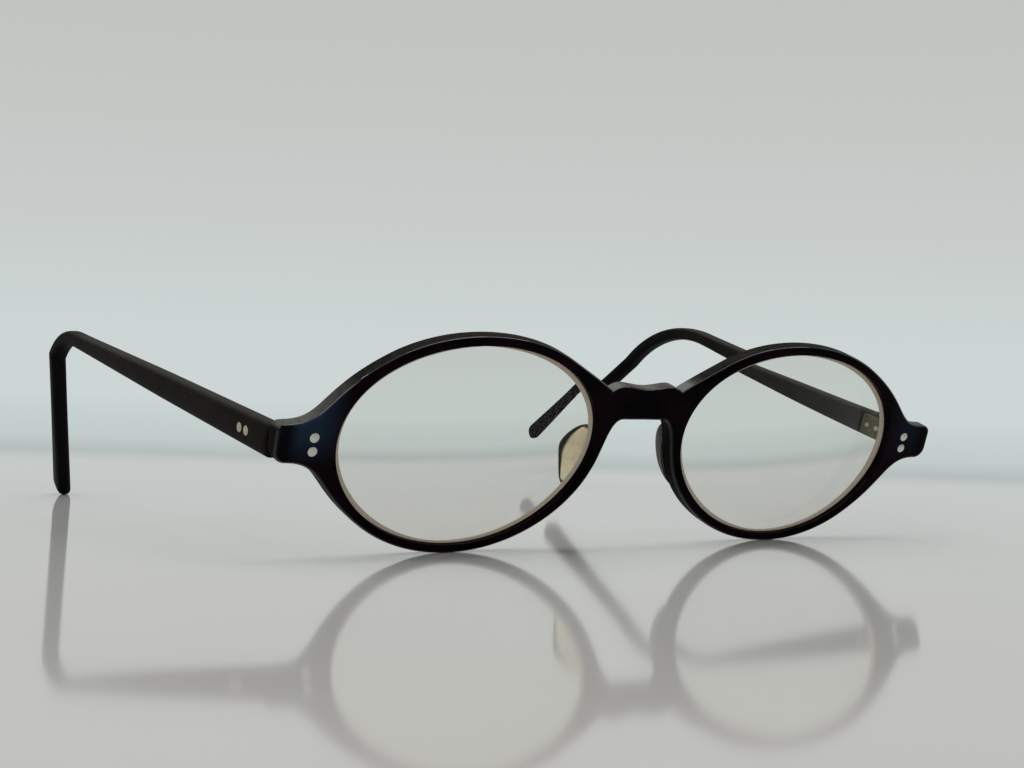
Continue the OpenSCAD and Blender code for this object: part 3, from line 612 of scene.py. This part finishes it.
# The squared oval: powers of the cosine and the sine, half a unit to each side.
oval_a = 2 * np.pi * (np.arange(TEMPLE_SIDES) + 0.5) / TEMPLE_SIDES
oval_up = np.sign(np.cos(oval_a)) * np.abs(np.cos(oval_a)) ** (2 / SQUARENESS) / 2
oval_side = np.sign(np.sin(oval_a)) * np.abs(np.sin(oval_a)) ** (2 / SQUARENESS) / 2


def butt_rings(name, basis):
    """Rings set back and shrunk by pairs of lengths, with the first one in the joint's flat plane."""
    start_high = temple_height(name, np.array([0.0]))
    back, shrink = np.array(BUTT_RINGS).T[:, :, None]
    x = TEMPLE_T * oval_side * (1 - 2 * shrink / TEMPLE_T)
    z = start_high * oval_up * (1 - 2 * shrink / start_high)
    y = -(basis[1, 0] * x + basis[1, 2] * z) / basis[1, 1] + back
    return to_front(name, np.stack([x, y, z], -1))[0]


def temple_mesh(name):
    """Squared ovals square to the temple's line, shrunk at the tip as a quarter circle shrinks."""
    total = temple_length(name)
    tip = total - TIP_ROUND * (1 - np.sin(np.linspace(0, np.pi / 2 * TIP_SWEEP, 14)))
    bend_end = total - EAR_L[name]
    run = np.concatenate([np.linspace(SHAFT_START, SHAFT_L[name], 70, endpoint=False),
                          np.linspace(SHAFT_L[name], bend_end, 40, endpoint=False),
                          np.linspace(bend_end, total - TIP_ROUND, 34, endpoint=False), tip])
    mid, turn = temple_line(name, run)
    left = np.clip((total - run) / TIP_ROUND, 0, 1)
    share = np.sqrt(1 - (1 - left) ** 2)
    high = (temple_height(name, run) * share)[:, None] * oval_up
    p = mid[:, None] + np.stack([(TEMPLE_T * share)[:, None] * oval_side,
                                 high * np.sin(turn)[:, None], high * np.cos(turn)[:, None]], -1)
    rings, basis = to_front(name, p)
    stack = np.concatenate([butt_rings(name, basis), rings])
    end = to_front(name, temple_line(name, np.array([total]))[0])[0]
    return stack, end, np.concatenate([[back for back, _ in BUTT_RINGS], run])


print(TEMPLE_SIDES, "points in each ring of a temple")

# %% Both temples, closed at the butt and at the tip
for name, side in SIDES.items():
    stack, end, along = temple_mesh(name)
    arm_points = np.concatenate([stack.reshape(-1, 3), end]) * [side, 1, 1]
    arm_faces = grid_faces(len(stack), TEMPLE_SIDES).tolist() + [list(range(TEMPLE_SIDES))]
    i = np.arange(TEMPLE_SIDES)
    last = (len(stack) - 1) * TEMPLE_SIDES
    tip_faces = np.stack([last + i, last + (i + 1) % TEMPLE_SIDES, np.full_like(i, len(arm_points) - 1)], -1)
    arm_faces += tip_faces.tolist()
    values = {"along": np.append(np.repeat(along, TEMPLE_SIDES), along[-1])}
    temple = build(name + "_temple_arm", on_table(arm_points), arm_faces, values, sharp=40)
    stand_in(temple, name + "_arm", "acetate", name + "_temple")

# %% [markdown]
# ## Shader sums written like sums
#
# A finish is a small network of nodes. Writing it node by node hides the idea, so one class wraps
# a socket and lets us add and multiply it like a number. A second class holds the network and
# makes any node from its type, settings and socket values, and a third one holds a material.

# %% A socket that can be used in sums


class Wire:
    """One output socket; sums on it add Math nodes to its network."""

    def __init__(self, network, socket):
        self.network, self.socket = network, socket

    def sum(self, operation, a, b, clamp=False):
        """A Math node on two values."""
        return self.network.node("ShaderNodeMath", {"operation": operation, "use_clamp": clamp}, {0: a, 1: b})

    def __add__(self, other): return self.sum("ADD", self, other)
    def __radd__(self, other): return self.sum("ADD", other, self)
    def __sub__(self, other): return self.sum("SUBTRACT", self, other)
    def __rsub__(self, other): return self.sum("SUBTRACT", other, self)
    def __mul__(self, other): return self.sum("MULTIPLY", self, other)
    def __rmul__(self, other): return self.sum("MULTIPLY", other, self)

    def most(self, other):
        """The greater of two values."""
        return self.sum("MAXIMUM", self, other)

    def size(self):
        """The value without its sign."""
        return self.most(0.0 - self)

    def held(self):
        """The value kept between nought and one."""
        return self.sum("ADD", self, 0.0, clamp=True)

    def step(self, low, high):
        """Nought below low, one above high, and an even rise between."""
        sockets = {"Value": self, "From Min": low, "From Max": high, "To Min": 0.0, "To Max": 1.0}
        return self.network.node("ShaderNodeMapRange", {"clamp": True}, sockets)


print("sums ready")

# %% A network of nodes


class Network:
    """A node tree in the making."""

    def __init__(self, tree):
        self.tree = tree
        tree.nodes.clear()

    def plug(self, socket, value):
        """Links a wire to a socket, or writes a plain value on it."""
        if isinstance(value, Wire):
            self.tree.links.new(value.socket, socket)
        elif hasattr(socket.default_value, "__len__") and hasattr(value, "__len__"):
            socket.default_value = (*value, 1.0)[:len(socket.default_value)]
        else:
            socket.default_value = value

    def node(self, kind, settings=None, sockets=None, out=0):
        """Any node: its type, its settings, and the values or wires of its sockets."""
        node = self.tree.nodes.new(kind)
        for key, value in (settings or {}).items():
            if key == "stops":
                for n, (where, colour) in enumerate(value):
                    stop = node.color_ramp.elements[n] if n < 2 else node.color_ramp.elements.new(where)
                    stop.position, stop.color = where, (*colour, 1.0)
            else:
                setattr(node, key, value)
        for key, value in (sockets or {}).items():
            self.plug(node.inputs[key], value)
        return Wire(self, node.outputs[out]) if node.outputs else node

    def mix(self, mask, a, b):
        """Colour a where the mask is nought and colour b where it is one."""
        return self.node("ShaderNodeMix", {"data_type": "RGBA"}, {0: mask, 6: a, 7: b}, out=2)

    def part(self, vector, axis):
        """One of a vector's three numbers."""
        return self.node("ShaderNodeSeparateXYZ", {}, {0: vector}, out=axis)


print("network ready")

# %% A material with a plain surface shader


class Finish(Network):
    """A material in the making, with a plain surface shader and its output."""

    def __init__(self, name, **sockets):
        self.material = bpy.data.materials.new(name)
        self.material.use_nodes = True
        super().__init__(self.material.node_tree)
        self.output = self.tree.nodes.new("ShaderNodeOutputMaterial")
        self.shader = self.tree.nodes.new("ShaderNodeBsdfPrincipled")
        self.tree.links.new(self.shader.outputs[0], self.output.inputs[0])
        self.set(**{key.replace("_", " "): value for key, value in sockets.items()})

    def set(self, **sockets):
        """Writes or links sockets of the surface shader by name."""
        for key, value in sockets.items():
            self.plug(self.shader.inputs[key], value)

    def coords(self, stretch=(1, 1, 1), turn=(0, 0, 0)):
        """The piece's own coordinates in millimetres, stretched and turned."""
        sockets = {"Vector": self.node("ShaderNodeTexCoord", out="Object"),
                   "Scale": [1000 * v for v in stretch], "Rotation": [math.radians(v) for v in turn]}
        return self.node("ShaderNodeMapping", {"vector_type": "POINT"}, sockets)

    def noise(self, scale, detail=3.0, rough=0.5, where=None):
        """Cloudy noise, with a scale per millimetre."""
        sockets = {"Vector": where or self.coords(), "Scale": scale, "Detail": detail, "Roughness": rough}
        return self.node("ShaderNodeTexNoise", {}, sockets)

    def value(self, name):
        """A value that the mesh stores at its points."""
        return self.node("ShaderNodeAttribute", {"attribute_name": name}, out="Fac")

    def facing_up(self):
        """How much the surface faces the ceiling."""
        return self.part(self.node("ShaderNodeNewGeometry", out="Normal"), "Z")

    def bump(self, height, depth_mm, strength=1.0):
        """Raises the surface by the height, up to a depth in millimetres."""
        sockets = {"Height": height, "Distance": depth_mm / 1000, "Strength": strength}
        self.set(Normal=self.node("ShaderNodeBump", {}, sockets))


def dress(thing, *finishes):
    """Puts finishes on a piece's slots, and leaves its faces in the slots that they have."""
    slots = thing.data.materials
    for n, finish in enumerate(finishes):
        if n < len(slots):
            slots[n] = finish.material
        else:
            slots.append(finish.material)


print("shader helpers ready")

# %% [markdown]
# ## Black plastic of the front
#
# The polished sheet isn't a plain black. Held to the light it is wine red and violet, and a painted
# navy reflection lies high on the end pieces. Its outer edge has gone matt and olive brown, with
# painted shade where it faces down, and is nearly grey in the filed notches and where rubbing wore
# it; on top of the end pieces and the saddle that grey is also painted top light, as it shows only
# where the edge faces up. Slow clouds give the tones, the stored values give the wear, and fine
# scratches break the gloss. The sheet itself mirrors little here, and a clear coat on the bevel
# alone gives the thin bright lines round the rims.

# %% Tones of the front
# The navy tone is a painted reflection on the end pieces, not a colour of the plastic.
WINE_BLACK, WINE, NAVY_REFLECTION = (0.0010, 0.0004, 0.0008), (0.0064, 0.0012, 0.0040), (0.0130, 0.0235, 0.0430)
MATT_DARK, MATT_OLIVE = (0.0044, 0.0037, 0.0025), (0.0140, 0.0126, 0.0092)
# A painted shade for the matt edge where it faces down.
PAINTED_SHADE_UNDER = (0.0012, 0.0009, 0.0009)
# The pale tones below stand for rubbing and, on faces that look up, for painted top light.
RUBBED_LIT_DARK, RUBBED_LIT_PALE = (0.085, 0.085, 0.074), (0.190, 0.188, 0.170)
OPENING_BLACK = (0.0020, 0.0016, 0.0014)

acetate = Finish("polished black acetate", IOR=1.08, Coat_IOR=1.5, Coat_Roughness=0.07)
cloud = acetate.noise(0.11, 2.0)
sheet = acetate.mix(cloud.step(0.40, 0.66), WINE_BLACK, WINE)

# A painted navy reflection lies high on the end pieces, but hardly at their very ends, and is weaker on the
# left one.
where = acetate.coords()
x_mm = acetate.part(where, "X") - float(SHIFT[0])
z_mm = acetate.part(where, "Z")
x_size = x_mm.size()
outer_end = x_size.step(55.0, 60.0) * (1 - x_size.step(62.6, 64.6) * 0.9)
painted_navy_reflection = outer_end * (1 - x_mm.step(-5.0, 5.0) * 0.6) * z_mm.step(14.5, 19.5)
sheet = acetate.mix(painted_navy_reflection, sheet, NAVY_REFLECTION)
print("tones of the sheet:", len(acetate.tree.nodes), "nodes")

# %% Wear of the front, with painted shade and painted top light
mottle, fine = acetate.noise(0.9, 5.0, 0.65), acetate.noise(6.0, 4.0, 0.6)
up = acetate.facing_up()
matt = acetate.mix(mottle.step(0.35, 0.7), MATT_DARK, MATT_OLIVE)
# The matt edge gets painted shade where it faces down, and its olive tone where it faces up.
matt = acetate.mix(up.step(-0.1, 0.6), PAINTED_SHADE_UNDER, matt)
rubbed_and_lit = acetate.mix(fine.step(0.3, 0.7), RUBBED_LIT_DARK, RUBBED_LIT_PALE)
# Pale grey where the end tops and the saddle face up is rubbing and painted top light; the filed notches get
# it whichever way they face.
rubbing_and_top_light = acetate.value("worn") * up.step(0.25, 0.85) + acetate.value("filed") * 1.6
edge_tone = acetate.mix((rubbing_and_top_light * (mottle * 1.2 + 0.25)).held(), matt, rubbed_and_lit)
edge_mask = (acetate.value("edge") * (0.75 + mottle * 0.5)).held()
colour = acetate.mix(edge_mask, sheet, edge_tone)
colour = acetate.mix(acetate.value("inner") * 0.8, colour, OPENING_BLACK)
scratch = acetate.noise(1.6, 6.0, 0.7, acetate.coords((0.25, 1, 3.2), (0, 24, 0)))
acetate.set(**{"Base Color": colour, "Roughness": (0.22 + edge_mask * 0.4).held(),
               "Coat Weight": (0.02 + acetate.value("bevel").step(0.42, 0.95) * 0.9).held()})
acetate.bump(scratch * 0.08 + fine * (0.05 + edge_mask * 0.9), 0.02, 0.5)
dress(front, acetate)
print("front's finish:", len(acetate.tree.nodes), "nodes")

# %% [markdown]
# ## Matt plastic of the temples
#
# The temples are the same plastic after years in a pocket: matt, brown black, a little greyer
# where they face up, and dotted with pale dust. Behind the ears they stay darker.

# %% Finish of the temples
ARM_DARK, ARM_BROWN, EAR_BLACK = (0.0050, 0.0036, 0.0030), (0.0100, 0.0076, 0.0062), (0.0012, 0.0012, 0.0012)
UP_GREY, SPECK = (0.032, 0.029, 0.024), (0.20, 0.19, 0.16)
EAR_FROM, EAR_TO = 74.0, 86.0

arm = Finish("worn black acetate", IOR=1.10)
tone = arm.mix(arm.noise(0.25, 4.0, 0.6).step(0.35, 0.7), ARM_DARK, ARM_BROWN)
behind_ear = arm.value("along").step(EAR_FROM, EAR_TO)
tone = arm.mix(behind_ear, tone, EAR_BLACK)
# Greyer where the temple faces up, following its normal alone.
facing_up_grey = (arm.facing_up().step(0.35, 0.95) * (0.55 + arm.noise(1.2, 5.0, 0.7) * 0.9)).held()
tone = arm.mix(facing_up_grey * (1 - behind_ear * 0.8), tone, UP_GREY)
dots = arm.node("ShaderNodeTexVoronoi", {"feature": "F1"},
                {"Vector": arm.coords(), "Scale": 1.15, "Randomness": 1.0}, out="Distance")
speck = (1 - dots.step(0.035, 0.11)) * arm.noise(0.8, 2.0).step(0.5, 0.6)
tone = arm.mix(speck * 0.55, tone, SPECK)
grain = arm.noise(7.0, 4.0, 0.6)
arm.set(**{"Base Color": tone, "Roughness": (0.42 + grain * 0.14 + facing_up_grey * 0.15).held()})
arm.bump(grain * 0.7 + speck, 0.015, 0.6)
for name in SIDES:
    dress(bpy.data.objects[name + "_temple_arm"], arm)
print("temples' finish:", len(arm.tree.nodes), "nodes")

# %% [markdown]
# ## Glass, its ground edge, and the amber pads
#
# Clear glass needs only its refraction, a faint tint and a weak mirror, as on a coated lens. What
# makes it real is the ground edge, a pale ring along the rim. The ring has a painted glow, so that
# it shows pale through the glass. The pads were clear plastic once and have turned amber on the
# side of the lens, and dark brown where they touch the nose.

# %% Finishes of the glass and its edge
EDGE_DARK, EDGE_CREAM = (0.290, 0.243, 0.195), (0.450, 0.385, 0.318)

glass = Finish("clear lens glass", Base_Color=(0.880, 0.874, 0.845), Roughness=0.0, IOR=1.5,
               Transmission_Weight=1.0, Specular_Tint=(0.14, 0.15, 0.17))
ground = Finish("ground lens edge", IOR=1.45, Specular_IOR_Level=0.2)
speckle = ground.noise(5.0, 4.0, 0.6)
cream_and_glow = ground.mix(speckle.step(0.3, 0.7), EDGE_DARK, EDGE_CREAM)
# The edge's tone is also its emission: a painted glow, as the edge is no lamp.
ground.set(**{"Base Color": cream_and_glow, "Roughness": 0.75 + speckle * 0.2, "Emission Color": cream_and_glow,
              "Emission Strength": 0.28})
ground.bump(speckle, 0.01, 0.4)
for lens in lenses.values():
    dress(lens, glass, ground)
print("lens slots:", [material.name for material in lenses["right"].data.materials])

# %% Finish of the pads
AMBER_DULL, AMBER_CLEAR = (0.68, 0.60, 0.40), (0.82, 0.75, 0.53)
BROWN_DARK, BROWN_RED = (0.006, 0.004, 0.002), (0.018, 0.010, 0.006)

amber = Finish("aged amber pad", IOR=1.16, Subsurface_Weight=0.25,
               Subsurface_Radius=(0.0016, 0.0012, 0.0007), Subsurface_Scale=1.0)
haze = amber.noise(0.6, 4.0, 0.6)
clear = amber.mix(haze.step(0.3, 0.7), AMBER_DULL, AMBER_CLEAR)
brown = amber.mix(haze.step(0.3, 0.7), BROWN_DARK, BROWN_RED)
amber.set(**{"Base Color": amber.mix(amber.value("ridge"), clear, brown), "Roughness": 0.28 + haze * 0.25})
amber.bump(haze, 0.02, 0.3)
for name in SIDES:
    dress(bpy.data.objects[name + "_pad"], amber)
print("pads' finish:", len(amber.tree.nodes), "nodes")

# %% [markdown]
# ## Metal of the rivets, hinges, screws and wires
#
# The small metal pieces are exact solids already, and only need a finish: bright, finely turned
# nickel for the rivets of the front, duller metal for the hinge and the temples' rivets. All of
# them are one recipe with other tones, so a function makes them.

# %% Metal finishes


def metal(name, dark, light, rough, grain_scale):
    """Worn metal: two tones in fine clouds, with grain in its roughness and surface."""
    made = Finish(name, Metallic=1.0)
    grain = made.noise(grain_scale, 5.0, 0.65)
    made.set(**{"Base Color": made.mix(grain.step(0.3, 0.7), dark, light),
                "Roughness": (rough + grain * 0.16).held()})
    made.bump(grain, 0.012, 0.5)
    return made


front_rivet = metal("bright nickel rivet", (0.62, 0.60, 0.56), (0.86, 0.85, 0.82), 0.26, 7.0)
temple_rivet = metal("dull brass rivet", (0.38, 0.34, 0.26), (0.60, 0.55, 0.44), 0.36, 7.0)
hinge_finish = metal("old nickel hinge", (0.055, 0.055, 0.035), (0.150, 0.145, 0.095), 0.38, 2.0)
screw_finish = metal("steel screw", (0.45, 0.44, 0.42), (0.68, 0.67, 0.65), 0.28, 6.0)
for node, thing in frame["nodes"].items():
    if "temple_rivet" in node:
        dress(thing, temple_rivet)
    elif "rivet" in node:
        dress(thing, front_rivet)
    elif "screw" in node or "wire" in node:
        dress(thing, screw_finish)
    elif "hinge" in node:
        dress(thing, hinge_finish)
print("finishes:", [m.name for m in bpy.data.materials])

# %% [markdown]
# ## The table
#
# The glasses stand on a glossy pale table before a pale wall. The table is a wide floor that turns
# into the wall's tone past a line behind the glasses, square to the camera's view. So there is no
# corner and no seam to place.

# %% The floor as a mesh
VIEW_YAW = math.radians(-31.35)
VIEW_FLAT = np.array([-math.sin(VIEW_YAW), math.cos(VIEW_YAW)])
EYE = np.array([SHIFT[0] - 173.50, SHIFT[1] - 243.08, 34.35]) / 1000
LINE_AHEAD, FLOOR_HALF = 0.50, 4.0

corners = [(x * FLOOR_HALF, y * FLOOR_HALF, 0) for x, y in ((-1, -1), (1, -1), (1, 1), (-1, 1))]
floor_mesh = bpy.data.meshes.new("table")
floor_mesh.from_pydata(corners, [], [(0, 1, 2, 3)])
table = bpy.data.objects.new("table", floor_mesh)
bpy.context.scene.collection.objects.link(table)
line = float(VIEW_FLAT @ EYE[:2] + LINE_AHEAD)
print("the table turns into the wall", round(line, 3), "m ahead of the middle")

# %% Finish of the table and the wall
NEAR_DARK, NEAR_PALE = (0.425, 0.410, 0.393), (0.470, 0.452, 0.433)
FAR_DARK, FAR_PALE = (0.430, 0.437, 0.427), (0.478, 0.484, 0.474)
WALL_FOOT, WALL_LOW, WALL_MID = (0.455, 0.508, 0.503), (0.545, 0.612, 0.600), (0.608, 0.672, 0.665)
WALL_HIGH, WALL_TOP = (0.575, 0.602, 0.590), (0.533, 0.552, 0.527)

top = Finish("glossy pale table", IOR=1.58)
clouds = top.noise(0.02, 3.0, 0.5)
ahead = top.node("ShaderNodeVectorMath", {"operation": "DOT_PRODUCT"},
                 {0: top.node("ShaderNodeTexCoord", out="Object"), 1: (*VIEW_FLAT, 0.0)}, out="Value")


def past_line(low, high):
    """Nought up to one distance past the line, one from another on, in metres, with a rise between."""
    return ahead.step(line + low, line + high)


near_tone, far_tone = top.mix(clouds, NEAR_DARK, NEAR_PALE), top.mix(clouds, FAR_DARK, FAR_PALE)
top.set(**{"Base Color": top.mix(past_line(-0.36, -0.08), near_tone, far_tone),
           "Roughness": 0.052 + clouds * 0.04})
wall_tone = top.mix(past_line(0.0, 0.08), WALL_FOOT, WALL_LOW)
wall_tone = top.mix(past_line(0.10, 0.45), wall_tone, WALL_MID)
wall = top.node("ShaderNodeEmission", {}, {"Color": wall_tone, "Strength": 1.0})
polished = Wire(top, top.shader.outputs[0])
joined = top.node("ShaderNodeMixShader", {}, {0: past_line(-0.035, 0.006), 1: polished, 2: wall})
top.plug(top.output.inputs[0], joined)
dress(table, top)
print("table's finish:", len(top.tree.nodes), "nodes")

# %% [markdown]
# ## The air round the object
#
# The camera, the mirrors and the glass see a wall that slowly darkens with height, while plain
# daylight lights the object. A polished black surface shows the room behind the camera too. That
# room must have been dark, because the plastic mirrors so little, so mirrored rays that run back
# that way meet a dark tone. Rays seen directly or through glass never do. This has a price: seen
# from behind, the table mirrors the dark tone, except where its mirror looks through a lens.

# %% The world's nodes
BACK_DARK = (0.030, 0.034, 0.040)
DARK_BEHIND, PALE_AHEAD = -0.45, 0.15
DAYLIGHT, DAY_STRENGTH = (0.98, 1.0, 0.99), 0.55

world = bpy.data.worlds.new("pale room")
bpy.context.scene.world = world
world.use_nodes = True
air = Network(world.node_tree)
camera_ray = air.node("ShaderNodeLightPath", out="Is Camera Ray")
mirror_ray = air.node("ShaderNodeLightPath", out="Is Glossy Ray")
through_ray = air.node("ShaderNodeLightPath", out="Is Transmission Ray")
way = air.node("ShaderNodeTexCoord", out="Generated")
stops = [(0.0, WALL_MID), (0.185, WALL_TOP), (0.07, WALL_HIGH)]
rise = air.node("ShaderNodeValToRGB", {"stops": stops}, {0: air.part(way, "Z")})
open_way = camera_ray.most(through_ray).most(air.part(way, "Y").step(DARK_BEHIND, PALE_AHEAD))
seen = air.node("ShaderNodeBackground", {}, {"Color": air.mix(open_way, BACK_DARK, rise), "Strength": 1.0})
lit = air.node("ShaderNodeBackground", {}, {"Color": DAYLIGHT, "Strength": DAY_STRENGTH})
looking = camera_ray.most(mirror_ray).most(through_ray)
either = air.node("ShaderNodeMixShader", {}, {0: looking, 1: lit, 2: seen})
air.node("ShaderNodeOutputWorld", {}, {"Surface": either})
print("air:", len(air.tree.nodes), "nodes")

# %% [markdown]
# ## The lamps
#
# A broad ceiling lamp gives the soft light and a cool window its side. A narrow strip draws bright
# lines on the bevels, and one small bulb gives the near temple its thin shadow on the table.

# %% Lamps


def standing(right, up, back, place):
    """The matrix of a lamp or a camera: its three axes and its place, as four columns."""
    return Matrix([*np.stack([right, up, back, place], 1).tolist(), [0, 0, 0, 1]])


def lamp(name, place, aim, size, power, colour=(1, 1, 1)):
    """A flat lamp: its back points from its aim to its place, and two cross products give the rest."""
    data = bpy.data.lights.new(name, "AREA")
    data.shape, data.size, data.size_y = "RECTANGLE", *size
    data.energy, data.color = power, colour
    back = unit(np.array(place, float) - np.array(aim, float))
    right = unit(np.cross([0.02, 1.0, 0.1], back))
    thing = bpy.data.objects.new(name, data)
    thing.matrix_world = standing(right, np.cross(back, right), back, place)
    bpy.context.scene.collection.objects.link(thing)


lamp("ceiling", (-0.1, 0.25, 1.3), (0, 0, 0), (1.6, 1.2), 9.0)
lamp("window", (-0.9, -0.35, 0.85), (0, 0, 0.01), (0.5, 0.9), 3.2, (0.93, 0.97, 1.0))
lamp("bulb", (-0.71, -0.05, 1.4), (-0.07, -0.02, 0), (0.09, 0.09), 1.1)
lamp("strip", (0.25, -0.15, 0.9), (0, 0, 0.02), (0.9, 0.07), 1.5)

# %% [markdown]
# ## The camera
#
# The photograph was taken from low down in front of the wearer's right side. Its direction was
# worked out from the shapes in the picture; here it is a place, a turn, a slight dip and a roll.

# %% Camera
DIP, ROLL = math.radians(1.33), math.radians(1.78)
SENSOR_MM, LENS_MM, NEAREST = 36.0, 62.015, 0.01

forward = np.array([*VIEW_FLAT * math.cos(DIP), -math.sin(DIP)])
level_right = unit(np.cross(forward, [0, 0, 1]))
level_up = np.cross(level_right, forward)
right = level_right * math.cos(ROLL) + level_up * math.sin(ROLL)
up = -level_right * math.sin(ROLL) + level_up * math.cos(ROLL)
camera_data = bpy.data.cameras.new("view")
camera_data.sensor_width, camera_data.lens, camera_data.clip_start = SENSOR_MM, LENS_MM, NEAREST
camera = bpy.data.objects.new("view", camera_data)
camera.matrix_world = standing(right, up, -forward, EYE)
bpy.context.scene.collection.objects.link(camera)
bpy.context.scene.camera = camera
bpy.context.scene.view_settings.view_transform = "Standard"
print("camera at", EYE)
